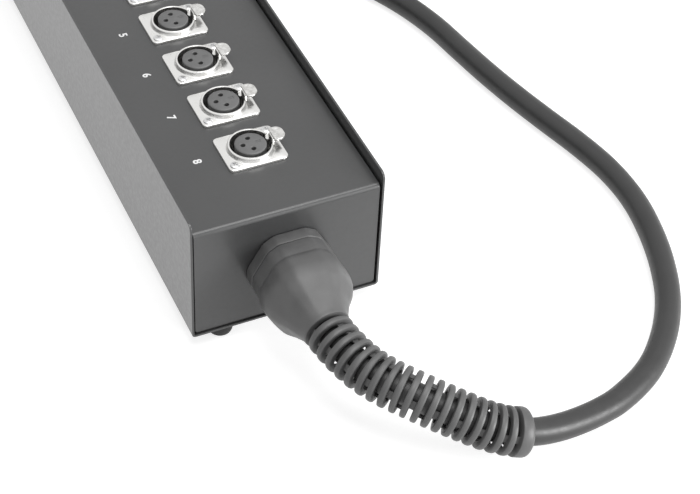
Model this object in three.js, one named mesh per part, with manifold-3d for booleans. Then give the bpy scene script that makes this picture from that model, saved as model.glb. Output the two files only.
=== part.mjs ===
// A stage box snake: a long folded-steel box with a row of eight microphone sockets, a cable boot with a
// ribbed bend relief on its end face, a thick multicore cable, and a fan-out of eight plugs at the far end.
// Millimetres, +Z up. The origin is on the floor under the middle of the box, and the cable leaves at -Y.
import * as THREE from "three";
import { mergeVertices } from "three/addons/utils/BufferGeometryUtils.js";
import Module from "manifold-3d";

// Clearances shared by all pieces
const fit = 0.3; // round a piece that sits in another
const seat = 0.1; // between two flat faces that rest on each other
const overrun = 5; // how far a cutter stands past what it cuts

// Box
const boxLength = 356;
const boxWidth = 101;
const wallHeight = 75; // underside of the base to the top edge of its side walls
const panelHeight = 68; // underside of the base to the top face of the cover
const sheet = 1.2;
const bendRadius = 2; // outside of a fold
const wallCornerRadius = 3.5;
const endRecess = 1; // the cover's end faces sit this far behind the ends of the walls
const coverGap = 0.8; // between the cover and each side wall
const coverLift = 0.5; // between the cover's inner flanges and the bottom
const coverCornerRadius = 1.8;
const flangeWidth = 64;
const flangeDepth = 14;

// Feet and the screws that hold the cover
const footHeight = 8;
const footRadius = 6.8;
const footInsetX = 17.7; // from the side of the base to the foot's axis
const footInsetY = 8;
const screwRadius = 1.5;
const screwHeadRadius = 2.8;
const screwHeadHeight = 1.9;
const screwGrip = 4.5; // threaded length past the bottom sheet
const screwInsetX = 32.5; // from the side of the base to a cover screw's axis

// Sockets, from the far end to the cable end
const socketCount = 8;
const endMargin = 47.9; // from the cable end of the walls to the nearest socket
const farEndMargin = 56.9; // from the far end of the walls to the first socket
const socketLineX = -0.4;
const plateLength = 31; // along X
const plateWidth = 26; // along Y
const plateThickness = 1.5;
const plateCornerRadius = 2.5;
const socketSides = 18;
const ringHeight = 4.3; // top of the raised ring over the panel
const ringTopRadius = 11.4;
const ringFootRadius = 12.5;
const barrelRadius = 11.7;
const barrelDepth = 21;
const boreRadius = 10.4;
const lipRadius = 8.8;
const lipHeight = 2.7;
const insertRadius = 8;
const insertHeight = 4.5; // top of the contact block over the panel
const insertFlangeRadius = 10.1;
const insertFlangeHeight = 3;
const contactCircle = 4.1;
const contactHoleRadius = 1.2;
const contactHoleDepth = 12;
const leadGap = 0.5; // between a contact block and the lead below it

// Push tab of the latch, measured in its socket
const tabTravel = 1.2;
const tabTop = 6.8;
const tabWidth = 10.2;
const tabOuter = 17.7; // from the socket's axis to the tab's outer edge
const tabThickness = 1.2;
const tabCornerRadius = 4.2;
const stemWidth = 5;
const stemThickness = 1.2;
const stemInner = 10.5; // from the socket's axis to the stem's inner face
const stemDepth = 8; // below the panel's top face
const hookLength = 0.9;
const hookHeight = 1.5;

// Gland and cable boot
const cableLineX = 0.5;
const glandHeight = 33.3; // of its axis over the underside of the base
const collarFlats = 41.6;
const cornerCutShare = 0.047; // cut off each corner of the collar and the boot, share of the width across flats
const collarDepth = 6.8;
const neckRadius = 15.2; // front thread of the gland body, inside the boot
const neckLength = 8;
const threadRadius = 12;
const threadLength = 14;
const sealRadius = 9.7;
const locknutFlats = 32;
const locknutThickness = 5;
const bootFlats = 41.4;
const bootHexDepth = 9;
const bellLength = 34;
const bellRadius = 23.2;
const bellNeckRadius = 10.9;
const ribCount = 19;
const ribPitch = 5.34;
const ribWidth = 3;
const ribRadius = 12;
const grooveRadius = 9.8;
const bootBoreRadius = 8.4;
const endCollarLength = 9;
const endCollarRadius = 12.1;

// Multicore cable and its coil
const cableDiameter = 13.5;
const inletLength = 14; // inside the end panel
const turnPitch = 14.1; // from turn to turn, and from layer to layer
const coilOuterRadius = 108; // at the centre of the cable
const turnsPerLayer = 3.75;
const coilX = 180;
const coilY = 190;
const coilEntryDegrees = 225;
const stepsPerTurn = 24;
const coilSides = 6;
const strapThickness = 1;
const strapWidth = 14;
const strapDegrees = [70, 190];

// Fan-out at the far end, lying on the coil
const fanRadius = 74; // of its middle line round the coil
const fanBootLength = 48;
const fanBootWidth = 30;
const fanBootHeight = 16.5;
const fanBootDegrees = -67; // of the boot's middle
const fanReturnDegrees = 75; // from the boot's end to where the tails follow the ring
const tailDiameter = 6;
const tailPitch = 7.2;
const tailColumns = 4;
const tailRows = 2;
const tailSteps = 12;
const plugDegrees = -270; // where the tails end and the plugs begin
const plugRadius = 9.5;
const plugPitch = 19.6;
const plugShellLength = 44;
const plugBootLength = 22;
const plugBootRadius = 6.6;
const plugCavityRadius = 8;
const plugCavityDepth = 12.5;
const plugPinRadius = 1.2;
const plugPinLength = 11;

// Wiring inside the box
const trunkRadius = 4.5;
const trunkHeight = 18; // over the underside of the base
const leadRadius = 1.6;

// Places that follow from the sizes
const underside = footHeight;
const bottomTop = underside + sheet;
const panelTop = underside + panelHeight;
const wallTop = underside + wallHeight;
const endFace = boxLength / 2 - endRecess;
const glandZ = underside + glandHeight;
const cableRadius = cableDiameter / 2;
const inletEnd = -endFace + inletLength;
const socketPitch = (boxLength - endMargin - farEndMargin) / (socketCount - 1);

const wasm = await Module();
wasm.setup();

// A closed mesh as a solid, and back
function solid(geometry) {
  const bare = geometry.index ? geometry.toNonIndexed() : geometry.clone();
  bare.deleteAttribute("normal");
  bare.deleteAttribute("uv");
  const merged = mergeVertices(bare, 1e-4);
  return new wasm.Manifold(
    new wasm.Mesh({
      numProp: 3,
      vertProperties: merged.attributes.position.array,
      triVerts: new Uint32Array(merged.index.array),
    }),
  );
}

function geometryOf(shape) {
  const data = shape.getMesh();
  const geometry = new THREE.BufferGeometry();
  geometry.setAttribute("position", new THREE.BufferAttribute(data.vertProperties, 3));
  geometry.setIndex(new THREE.BufferAttribute(data.triVerts, 1));
  const flat = geometry.toNonIndexed();
  flat.computeVertexNormals();
  return flat;
}

// An upright cylinder from one height to another
function post(radius, low, high, sides = 16, x = 0, y = 0) {
  const geometry = new THREE.CylinderGeometry(radius, radius, high - low, sides);
  geometry.rotateX(Math.PI / 2);
  geometry.translate(x, y, (low + high) / 2);
  return solid(geometry);
}

// A block between two corners
function block([x0, y0, z0], [x1, y1, z1]) {
  const geometry = new THREE.BoxGeometry(x1 - x0, y1 - y0, z1 - z0);
  geometry.translate((x0 + x1) / 2, (y0 + y1) / 2, (z0 + z1) / 2);
  return solid(geometry);
}

// A profile of [radius, height] points turned about the Z axis
function turned(profile, sides) {
  const points = profile.map(([r, z]) => new THREE.Vector2(r, z));
  return new THREE.LatheGeometry(points, sides).rotateX(Math.PI / 2);
}

// A rectangle with its own radius at each corner: low left, low right, high right, high left
function roundedRectangle(x0, y0, x1, y1, [a, b, c, d]) {
  const shape = new THREE.Shape();
  shape.moveTo(x0 + a, y0);
  shape.lineTo(x1 - b, y0);
  if (b) shape.absarc(x1 - b, y0 + b, b, -Math.PI / 2, 0);
  shape.lineTo(x1, y1 - c);
  if (c) shape.absarc(x1 - c, y1 - c, c, 0, Math.PI / 2);
  shape.lineTo(x0 + d, y1);
  if (d) shape.absarc(x0 + d, y1 - d, d, Math.PI / 2, Math.PI);
  shape.lineTo(x0, y0 + a);
  if (a) shape.absarc(x0 + a, y0 + a, a, Math.PI, Math.PI * 1.5);
  return shape;
}

// A shape pushed up along +Z from a height
function pushed(shape, low, height, curveSegments = 3) {
  const geometry = new THREE.ExtrudeGeometry(shape, { depth: height, bevelEnabled: false, curveSegments });
  return geometry.translate(0, 0, low);
}

// A shape drawn in X and Z, pushed along Y, centred
function pushedAlongY(shape, length) {
  return pushed(shape, -length / 2, length).rotateX(Math.PI / 2);
}

// A shape drawn in Y and Z, pushed along X, centred
function pushedAlongX(shape, length) {
  const geometry = pushed(shape, -length / 2, length);
  return geometry.rotateX(Math.PI / 2).rotateZ(Math.PI / 2);
}

// A regular hexagon whose flats face up and down
function hexagon(flats) {
  const corners = [];
  for (let i = 0; i < 6; i++) {
    const angle = (i * Math.PI) / 3;
    const radius = flats / 2 / Math.cos(Math.PI / 6);
    corners.push(new THREE.Vector2(radius * Math.cos(angle), radius * Math.sin(angle)));
  }
  return new THREE.Shape(corners);
}

// How far a cut corner lies from the axis, share of the width across flats
const cutReachShare = 1 / (2 * Math.cos(Math.PI / 6)) - cornerCutShare;

// The same with its corners cut off
function cutHexagon(flats) {
  const halfCut = Math.atan((1 / (2 * cutReachShare) - Math.cos(Math.PI / 6)) / Math.sin(Math.PI / 6));
  const corners = [];
  for (let i = 0; i < 6; i++) {
    for (const aside of [-halfCut, halfCut]) {
      const angle = (i * Math.PI) / 3 + aside;
      const radius = (flats * cutReachShare) / Math.cos(halfCut);
      corners.push(new THREE.Vector2(radius * Math.cos(angle), radius * Math.sin(angle)));
    }
  }
  return new THREE.Shape(corners);
}

// Rings of points joined into one closed skin with flat ends
function skin(rings) {
  const count = rings[0].length;
  const positions = rings.flat().flatMap((p) => [p.x, p.y, p.z]);
  const faces = [];
  for (let k = 0; k + 1 < rings.length; k++) {
    for (let i = 0; i < count; i++) {
      const a = k * count + i;
      const b = k * count + ((i + 1) % count);
      faces.push(a, b, b + count, a, b + count, a + count);
    }
  }
  const last = (rings.length - 1) * count;
  for (let i = 1; i + 1 < count; i++) {
    faces.push(0, i + 1, i, last, last + i, last + i + 1);
  }
  const geometry = new THREE.BufferGeometry();
  geometry.setAttribute("position", new THREE.Float32BufferAttribute(positions, 3));
  geometry.setIndex(faces);
  const flat = geometry.toNonIndexed();
  flat.computeVertexNormals();
  return flat;
}

// A frame at each point of a line, carried along without twist
function framesAlong(points) {
  let side = new THREE.Vector3(0, 0, 1);
  return points.map((point, i) => {
    const before = points[Math.max(i - 1, 0)];
    const after = points[Math.min(i + 1, points.length - 1)];
    const ahead = after.clone().sub(before).normalize();
    side = side.clone().addScaledVector(ahead, -side.dot(ahead)).normalize();
    return { point, side, other: ahead.clone().cross(side) };
  });
}

// A ring round a frame: radiusAt gives the radius at each angle
function ringAt({ point, side, other }, sides, radiusAt) {
  const ring = [];
  for (let i = 0; i < sides; i++) {
    const angle = (i * 2 * Math.PI) / sides;
    const radius = radiusAt(angle);
    ring.push(
      point.clone().addScaledVector(side, radius * Math.cos(angle)).addScaledVector(other, radius * Math.sin(angle)),
    );
  }
  return ring;
}

// A round tube through given points
function tubeThrough(points, radius, sides) {
  return skin(framesAlong(points).map((frame) => ringAt(frame, sides, () => radius)));
}

// A round tube along a curve
function tubeAlong(curve, radius, steps, sides) {
  const corners = [];
  for (let i = 0; i < sides; i++) {
    const angle = (i * 2 * Math.PI) / sides;
    corners.push(new THREE.Vector2(radius * Math.cos(angle), radius * Math.sin(angle)));
  }
  return new THREE.ExtrudeGeometry(new THREE.Shape(corners), { steps, extrudePath: curve, bevelEnabled: false });
}

function smooth(share) {
  const t = Math.min(Math.max(share, 0), 1);
  return t * t * (3 - 2 * t);
}

// Materials
const powderCoat = { color: 0x3a3b3d, roughness: 0.55, metalness: 0.2 };
const nickel = { color: 0xcfcfcc, roughness: 0.25, metalness: 1 };
const insertPlastic = { color: 0x4a4b4d, roughness: 0.6, metalness: 0 };
const zincSteel = { color: 0xa9abad, roughness: 0.4, metalness: 1 };
const footRubber = { color: 0x191919, roughness: 0.8, metalness: 0 };
const bootRubber = { color: 0x3c3c3d, roughness: 0.65, metalness: 0 };
const glandPlastic = { color: 0x3f4041, roughness: 0.55, metalness: 0 };
const jacket = { color: 0x434345, roughness: 0.5, metalness: 0 };
const tailJacket = { color: 0x2e2e30, roughness: 0.55, metalness: 0 };
const strapFabric = { color: 0x202022, roughness: 0.95, metalness: 0 };
const wireJacket = { color: 0x8c2f2b, roughness: 0.5, metalness: 0 };

const snake = new THREE.Group();

function add(name, geometry, material, parent = snake) {
  const mesh = new THREE.Mesh(geometry, new THREE.MeshStandardMaterial(material));
  mesh.name = name;
  parent.add(mesh);
  return mesh;
}

// Base: a U channel whose walls have rounded upper corners
const footPlaces = [];
const screwPlaces = [];
for (const y of [-1, 1]) {
  for (const x of [-1, 1]) {
    footPlaces.push([x * (boxWidth / 2 - footInsetX), y * (boxLength / 2 - footInsetY)]);
    screwPlaces.push([x * (boxWidth / 2 - screwInsetX), y * (endFace - flangeDepth / 2 - sheet / 2)]);
  }
}

function baseChassis() {
  const half = boxWidth / 2;
  const outer = roundedRectangle(-half, underside, half, wallTop, [bendRadius, bendRadius, 0, 0]);
  const inside = Math.max(bendRadius - sheet, sheet / 4);
  const inner = roundedRectangle(-half + sheet, bottomTop, half - sheet, wallTop + overrun, [inside, inside, 0, 0]);
  const side = roundedRectangle(-boxLength / 2, underside, boxLength / 2, wallTop, [
    0,
    0,
    wallCornerRadius,
    wallCornerRadius,
  ]);
  let base = solid(pushedAlongY(outer, boxLength))
    .subtract(solid(pushedAlongY(inner, boxLength + 2 * overrun)))
    .intersect(solid(pushedAlongX(side, boxWidth + 2 * overrun)));
  for (const [x, y] of screwPlaces) {
    base = base.subtract(post(screwRadius + fit, underside - overrun, bottomTop + overrun, 10, x, y));
  }
  return geometryOf(base);
}
add("base_chassis", baseChassis(), powderCoat);

// Cover: top panel and two end panels in one fold, with an inner flange at each end
const coverWidth = boxWidth - 2 * (sheet + coverGap);
const coverBottom = bottomTop + coverLift;
const socketY = (index) => endMargin - boxLength / 2 + (socketCount - index) * socketPitch;

function topCover() {
  const outer = roundedRectangle(-endFace, coverBottom, endFace, panelTop, [0, 0, bendRadius, bendRadius]);
  const inside = Math.max(bendRadius - sheet, sheet / 4);
  const inner = roundedRectangle(
    -endFace + sheet,
    coverBottom - overrun,
    endFace - sheet,
    panelTop - sheet,
    [0, 0, inside, inside],
  );
  const corner = coverCornerRadius;
  const front = roundedRectangle(-coverWidth / 2, coverBottom, coverWidth / 2, panelTop + overrun, [
    corner,
    corner,
    0,
    0,
  ]);
  let cover = solid(pushedAlongX(outer, coverWidth))
    .subtract(solid(pushedAlongX(inner, coverWidth + 2 * overrun)))
    .intersect(solid(pushedAlongY(front, boxLength)));
  for (const end of [-1, 1]) {
    const far = end * (endFace - sheet / 2);
    const near = end * (endFace - flangeDepth);
    const low = [-flangeWidth / 2, Math.min(far, near), coverBottom];
    cover = cover.add(block(low, [flangeWidth / 2, Math.max(far, near), coverBottom + sheet]));
  }
  for (const [x, y] of screwPlaces) {
    cover = cover.subtract(post(screwRadius + fit, coverBottom - sheet, coverBottom + 2 * sheet, 10, x, y));
  }
  for (let i = 1; i <= socketCount; i++) {
    cover = cover.subtract(
      post(barrelRadius + 2 * fit, panelTop - 2 * sheet, panelTop + overrun, socketSides, socketLineX, socketY(i)),
    );
  }
  const hole = new THREE.CylinderGeometry(threadRadius + fit, threadRadius + fit, 4 * sheet, 24);
  hole.translate(cableLineX, -endFace, glandZ);
  return geometryOf(cover.subtract(solid(hole)));
}
add("top_cover", topCover(), powderCoat);

// Feet and cover screws
const footProfileShares = [
  [0, 0],
  [0.62, 0],
  [0.84, 0.11],
  [0.95, 0.32],
  [1, 0.62],
  [1, 1],
  [0, 1],
];
const footProfile = footProfileShares.map(([r, z]) => [r * footRadius, z * (footHeight - seat)]);
footPlaces.forEach(([x, y], i) => {
  add(`foot_${i + 1}`, turned(footProfile, 12), footRubber).position.set(x, y, 0);
});

const screwTop = bottomTop + screwGrip;
const screwProfile = [
  [0, underside - seat - screwHeadHeight],
  [screwHeadRadius, underside - seat - screwHeadHeight],
  [screwHeadRadius, underside - seat],
  [screwRadius, underside - seat],
  [screwRadius, screwTop],
  [0, screwTop],
];
screwPlaces.forEach(([x, y], i) => {
  add(`cover_screw_${i + 1}`, turned(screwProfile, 8), zincSteel).position.set(x, y, 0);
});

// One socket, built about its own axis with z = 0 on the panel's top face
const stemGap = fit;
const tabWindow = tabWidth + 2 * stemGap;

function socketShell() {
  const radii = Array(4).fill(plateCornerRadius);
  const plate = solid(
    pushed(
      roundedRectangle(-plateLength / 2, -plateWidth / 2, plateLength / 2, plateWidth / 2, radii),
      seat,
      plateThickness - seat,
    ),
  );
  const ring = solid(
    turned(
      [
        [0, plateThickness / 2],
        [ringFootRadius, plateThickness / 2],
        [ringFootRadius, plateThickness],
        [ringTopRadius, ringHeight],
        [0, ringHeight],
      ],
      socketSides,
    ),
  );
  const barrel = post(barrelRadius, -barrelDepth, plateThickness / 2, socketSides);
  const window = block(
    [stemInner - hookLength, -tabWindow / 2, plateThickness],
    [ringFootRadius + fit, tabWindow / 2, ringHeight + overrun],
  );
  const slot = block(
    [0, -stemWidth / 2 - stemGap, -stemDepth - tabTravel - fit],
    [stemInner + stemThickness + stemGap, stemWidth / 2 + stemGap, ringHeight + overrun],
  );
  return geometryOf(
    plate
      .add(ring)
      .add(barrel)
      .subtract(window)
      .subtract(slot)
      .subtract(post(boreRadius, -barrelDepth + lipHeight, ringHeight + overrun, socketSides))
      .subtract(post(lipRadius, -barrelDepth - overrun, overrun, socketSides / 2)),
  );
}

const insertBase = -barrelDepth + lipHeight + seat;

function contactPlaces() {
  return [Math.PI / 2, Math.PI, -Math.PI / 2].map((angle) => [
    contactCircle * Math.cos(angle),
    contactCircle * Math.sin(angle),
  ]);
}

function socketInsert() {
  let insert = solid(
    turned(
      [
        [0, insertBase],
        [insertFlangeRadius, insertBase],
        [insertFlangeRadius, insertBase + insertFlangeHeight],
        [insertRadius, insertBase + insertFlangeHeight],
        [insertRadius, insertHeight],
        [0, insertHeight],
      ],
      16,
    ),
  );
  for (const [x, y] of contactPlaces()) {
    insert = insert.subtract(
      post(contactHoleRadius, insertHeight - contactHoleDepth, insertHeight + overrun, 6, x, y),
    );
  }
  return geometryOf(insert);
}

function pushTab() {
  const corner = Math.min(tabCornerRadius, tabWidth / 2);
  const pad = solid(
    pushed(
      roundedRectangle(stemInner, -tabWidth / 2, tabOuter, tabWidth / 2, [0, corner, corner, 0]),
      tabTop - tabThickness,
      tabThickness,
    ),
  );
  const stem = block(
    [stemInner, -stemWidth / 2, -stemDepth],
    [stemInner + stemThickness, stemWidth / 2, tabTop - tabThickness / 2],
  );
  const hook = block(
    [stemInner - hookLength, -stemWidth / 4, -stemDepth],
    [stemInner + stemThickness / 2, stemWidth / 4, -stemDepth + hookHeight],
  );
  return geometryOf(pad.add(stem).add(hook));
}

const shellGeometry = socketShell();
const insertGeometry = socketInsert();
const tabGeometry = pushTab();
for (let i = 1; i <= socketCount; i++) {
  const socket = new THREE.Group();
  socket.position.set(socketLineX, socketY(i), panelTop);
  snake.add(socket);
  add(`socket_shell_${i}`, shellGeometry, nickel, socket);
  add(`socket_insert_${i}`, insertGeometry, insertPlastic, socket);
  add(`push_tab_${i}`, tabGeometry, nickel, socket);
}

// Gland on the end panel: everything here is built along +Z and then turned to point at -Y
const gland = new THREE.Group();
gland.rotation.x = Math.PI / 2;
gland.position.set(cableLineX, -endFace, glandZ);
snake.add(gland);
const glandBoreRadius = cableRadius + 2 * fit;

function glandBody() {
  const seatRadius = sealRadius + fit;
  const body = solid(pushed(cutHexagon(collarFlats), seat, collarDepth))
    .add(post(threadRadius, -threadLength, collarDepth / 2, 20))
    .add(post(neckRadius, collarDepth / 2, collarDepth + neckLength, 24));
  return geometryOf(
    body
      .subtract(post(glandBoreRadius, -threadLength - overrun, collarDepth + overrun, 16))
      .subtract(post(seatRadius, collarDepth / 2, collarDepth + neckLength + overrun, 20)),
  );
}
add("gland_body", glandBody(), glandPlastic, gland);

const sealProfile = [
  [cableRadius + fit, collarDepth / 2 + seat],
  [sealRadius, collarDepth / 2 + seat],
  [sealRadius, collarDepth + neckLength - fit],
  [cableRadius + fit, collarDepth + neckLength - fit],
  [cableRadius + fit, collarDepth / 2 + seat],
];
add("gland_seal", turned(sealProfile, 16), footRubber, gland);

const locknut = solid(pushed(hexagon(locknutFlats), -sheet - seat - locknutThickness, locknutThickness)).subtract(
  post(threadRadius + fit, -sheet - locknutThickness - overrun, overrun, 20),
);
add("gland_locknut", geometryOf(locknut), glandPlastic, gland);

// Route of the cable from inside the box to the coil. The first stretch is held by the gland, the rest was
// chosen by hand along the photographed loop.
const cableRoute = [
  [cableLineX, inletEnd, glandZ],
  [cableLineX, -endFace - collarDepth, glandZ],
  [cableLineX, -194, glandZ],
  [-0.3, -215.7, 41.2],
  [0.4, -228.7, 40.2],
  [3.2, -240.9, 38.8],
  [7.8, -252.6, 37.1],
  [14.6, -263, 35.3],
  [23.2, -272.5, 33.2],
  [32.3, -280.8, 30.1],
  [42.1, -288.2, 26.2],
  [52.2, -294.4, 21.8],
  [63, -298.7, 17.8],
  [74.8, -300.7, 14.5],
  [87.4, -300.7, 11.8],
  [100.4, -299.3, 9.8],
  [113.6, -296.7, 8.2],
  [126.4, -293, 7.2],
  [149.4, -281.5, 6.75],
  [168.4, -264.5, 6.75],
  [183.5, -243.8, 6.75],
  [194.3, -220.5, 6.75],
  [201.8, -195.8, 6.75],
  [206, -170.5, 6.75],
  [205.5, -145.1, 6.75],
  [200.7, -120, 6.75],
  [193.9, -95.2, 6.75],
  [187.4, -70.3, 6.75],
  [181.9, -45.2, 6.75],
  [177.4, -20, 6.75],
  [173, 5.4, 6.75],
  [166.1, 29.4, 6.75],
  [155.9, 52.3, 7],
  [142.7, 73.5, 7.6],
];
const toRadians = Math.PI / 180;

// A point at an angle and a radius from the coil's axis
function roundCoil(degrees, radius, z) {
  const angle = degrees * toRadians;
  return new THREE.Vector3(coilX + radius * Math.cos(angle), coilY + radius * Math.sin(angle), z);
}

// The way the cable runs at an angle of the coil, which is wound clockwise seen from above
function alongCoil(degrees) {
  return new THREE.Vector3(Math.sin(degrees * toRadians), -Math.cos(degrees * toRadians), 0);
}

const lowLayer = seat + strapThickness + fit + cableRadius;
const highLayer = lowLayer + turnPitch;
const coilTop = highLayer + cableRadius;
const coilStart = roundCoil(coilEntryDegrees, coilOuterRadius, lowLayer).addScaledVector(
  alongCoil(coilEntryDegrees),
  -cableDiameter,
);
const runEnd = coilStart.clone().addScaledVector(alongCoil(coilEntryDegrees), -fit);
const runPoints = cableRoute.map(([x, y, z]) => new THREE.Vector3(x, y, z));
runPoints.push(runEnd.clone().addScaledVector(alongCoil(coilEntryDegrees), -cableDiameter), runEnd);
const runCurve = new THREE.CatmullRomCurve3(runPoints, false, "centripetal");
add("cable_run", tubeAlong(runCurve, cableRadius, 44, 10), jacket);

// Cable boot: hexagon, bell and ribbed bend relief in one moulding, on the cable's own line
const bootStart = endFace + collarDepth + 2 * seat;
const bellStart = bootStart + bootHexDepth;
const bellEnd = bellStart + bellLength;
const ribsEnd = bellEnd + ribCount * ribPitch;
const bootEnd = ribsEnd + endCollarLength;
runCurve.arcLengthDivisions = 600;

// A frame on the cable's line at a distance from the middle of the box
const lineLength = runCurve.getLength();
function frameAt(distance) {
  const share = (distance + inletEnd) / lineLength;
  const point = runCurve.getPointAt(share);
  const ahead = runCurve.getTangentAt(share);
  const up = new THREE.Vector3(0, 0, 1);
  const side = up.addScaledVector(ahead, -up.dot(ahead)).normalize();
  return { point, side, other: ahead.clone().cross(side) };
}

// The bell's outline: share of its length, share of the way from neck to full radius, share of hexagon left
const bellShares = [
  [0, 0.907, 1],
  [0.067, 0.97, 0.8],
  [0.17, 1, 0.7],
  [0.285, 0.985, 0.7],
  [0.42, 0.91, 0.65],
  [0.535, 0.75, 0.6],
  [0.64, 0.51, 0.5],
  [0.725, 0.315, 0.4],
  [0.815, 0.125, 0.25],
  [0.9, 0.03, 0.1],
  [0.96, 0.005, 0],
  [1, 0, 0],
];

function hexRadius(flats, angle) {
  const sector = Math.PI / 3;
  const offset = ((((angle + sector / 2) % sector) + sector) % sector) - sector / 2;
  const flat = flats / 2 / Math.cos(offset);
  return Math.min(flat, (flats * cutReachShare) / Math.cos(sector / 2 - Math.abs(offset)));
}

function cableBoot() {
  const sides = 36;
  const hex = (angle) => hexRadius(bootFlats, angle);
  const rings = [ringAt(frameAt(bootStart), sides, hex), ringAt(frameAt(bellStart), sides, hex)];
  for (const [along, fullness, hexShare] of bellShares.slice(1)) {
    const round = bellNeckRadius + fullness * (bellRadius - bellNeckRadius);
    const radiusAt = (angle) => {
      const hexagonal = (round * hexRadius(1, angle)) / hexRadius(1, Math.PI / 6);
      return round + hexShare * (hexagonal - round);
    };
    rings.push(ringAt(frameAt(bellStart + along * bellLength), sides, radiusAt));
  }
  const bell = solid(skin(rings));

  const ribSides = 10;
  const ribbed = [ringAt(frameAt(bellEnd - bellLength / 20), ribSides, () => grooveRadius)];
  for (let i = 0; i < ribCount; i++) {
    const start = bellEnd + (i + 1) * ribPitch - ribWidth;
    for (const [distance, radius] of [
      [start, grooveRadius],
      [start, ribRadius],
      [start + ribWidth, ribRadius],
      [start + ribWidth, grooveRadius],
    ]) {
      ribbed.push(ringAt(frameAt(distance), ribSides, () => radius));
    }
  }
  const collarStart = ribsEnd + ribPitch - ribWidth;
  for (const [distance, radius] of [
    [collarStart, grooveRadius],
    [collarStart, endCollarRadius],
    [bootEnd - endCollarLength / 4, endCollarRadius],
    [bootEnd, grooveRadius],
  ]) {
    ribbed.push(ringAt(frameAt(distance), ribSides, () => radius));
  }
  const relief = solid(skin(ribbed));

  const boreRings = [ringAt(frameAt(bootStart - overrun), ribSides, () => bootBoreRadius)];
  const boreSteps = Math.ceil((bootEnd - bootStart) / (2 * cableDiameter)) * 2;
  for (let i = 1; i <= boreSteps; i++) {
    const distance = bootStart + ((bootEnd - bootStart) * i) / boreSteps;
    boreRings.push(ringAt(frameAt(distance + (i === boreSteps ? fit : 0)), ribSides, () => bootBoreRadius));
  }
  const pocket = new THREE.CylinderGeometry(neckRadius + fit, neckRadius + fit, neckLength + fit + overrun, 24);
  pocket.translate(cableLineX, -(bootStart + (neckLength + fit - overrun) / 2), glandZ);
  return geometryOf(
    bell
      .add(relief)
      .subtract(solid(skin(boreRings)))
      .subtract(solid(pocket)),
  );
}
add("cable_boot", cableBoot(), bootRubber);

// Coil: two layers, spiralling in at the bottom and out again on top, then the end climbs onto the coil
const innerRadius = coilOuterRadius - turnsPerLayer * turnPitch;
const coilEndDegrees = coilEntryDegrees - 720 * turnsPerLayer;
const topLevel = coilTop + strapThickness + 2 * fit;
const fanBootZ = topLevel + fanBootHeight / 2;
const fanWay = alongCoil(fanBootDegrees);
const fanBootMiddle = roundCoil(fanBootDegrees, fanRadius, fanBootZ);
const fanBootStart = fanBootMiddle.clone().addScaledVector(fanWay, -fanBootLength / 2);
const fanBootEnd = fanBootMiddle.clone().addScaledVector(fanWay, fanBootLength / 2);

function coilPoints() {
  const points = [coilStart];
  const total = 2 * turnsPerLayer * stepsPerTurn;
  for (let i = 0; i <= total; i++) {
    const turn = i / stepsPerTurn;
    const fromMiddle = turn - turnsPerLayer;
    const radius = innerRadius + Math.abs(fromMiddle) * turnPitch;
    const z = lowLayer + turnPitch * smooth(fromMiddle * 2 + 0.5);
    points.push(roundCoil(coilEntryDegrees - turn * 360, radius, z));
  }
  return points;
}

// The way up ends in a straight stretch in front of the boot, and turns in faster the nearer it comes
function climbPoints() {
  const ends = [cableDiameter, fit].map((back) => fanBootStart.clone().addScaledVector(fanWay, -back));
  const firstDegrees = coilEndDegrees + 360 * Math.ceil(-coilEndDegrees / 360);
  const lastRadius = Math.hypot(ends[0].x - coilX, ends[0].y - coilY);
  const lastDegrees = Math.atan2(ends[0].y - coilY, ends[0].x - coilX) / toRadians;
  const points = [];
  const step = 360 / stepsPerTurn;
  for (let degrees = firstDegrees - step; degrees > lastDegrees + step / 2; degrees -= step) {
    const share = (firstDegrees - degrees) / (firstDegrees - lastDegrees);
    const spiralRadius = coilOuterRadius + (turnPitch * (firstDegrees - lastDegrees) * share) / 360;
    const radius = spiralRadius + (lastRadius - spiralRadius) * share ** 3;
    const z = highLayer + (fanBootZ - highLayer) * smooth(share / 0.78);
    points.push(roundCoil(degrees, radius, z));
  }
  return [...points, ...ends];
}

const woundPoints = [...coilPoints(), ...climbPoints()];
add("cable_coil", tubeThrough(woundPoints, cableRadius, coilSides), jacket);

// The least gap between two stretches of the coil that lie more than half a turn apart
function leastGap(points, apart) {
  let least = Infinity;
  points.forEach((a, i) => {
    for (let k = i + apart; k + 1 < points.length; k++) {
      const line = new THREE.Line3(points[k], points[k + 1]);
      least = Math.min(least, line.closestPointToPoint(a, true, new THREE.Vector3()).distanceTo(a));
    }
  });
  return least - cableDiameter;
}

// The radius of the tightest bend in a line of points
function tightestBend(points) {
  let least = Infinity;
  for (let i = 1; i + 1 < points.length; i++) {
    const triangle = new THREE.Triangle(points[i - 1], points[i], points[i + 1]);
    const sides = [0, 1, -1].map((k) => points[i + k].distanceTo(points[k < 0 ? i + 1 : i + k - 1]));
    const area = triangle.getArea();
    if (area > fit) least = Math.min(least, (sides[0] * sides[1] * sides[2]) / (4 * area));
  }
  return least;
}
const lengthOf = (points) => points.slice(1).reduce((sum, p, i) => sum + p.distanceTo(points[i]), 0);
console.log("coil: least gap to itself", leastGap(woundPoints, stepsPerTurn / 2).toFixed(2), "mm");
console.log("cable: run", lineLength.toFixed(0), "mm, coil", lengthOf(woundPoints).toFixed(0), "mm");
console.log("tightest bend: run", tightestBend(runCurve.getSpacedPoints(60)).toFixed(0), "mm");
console.log("tightest bend: coil", tightestBend(woundPoints).toFixed(0), "mm");

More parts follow.
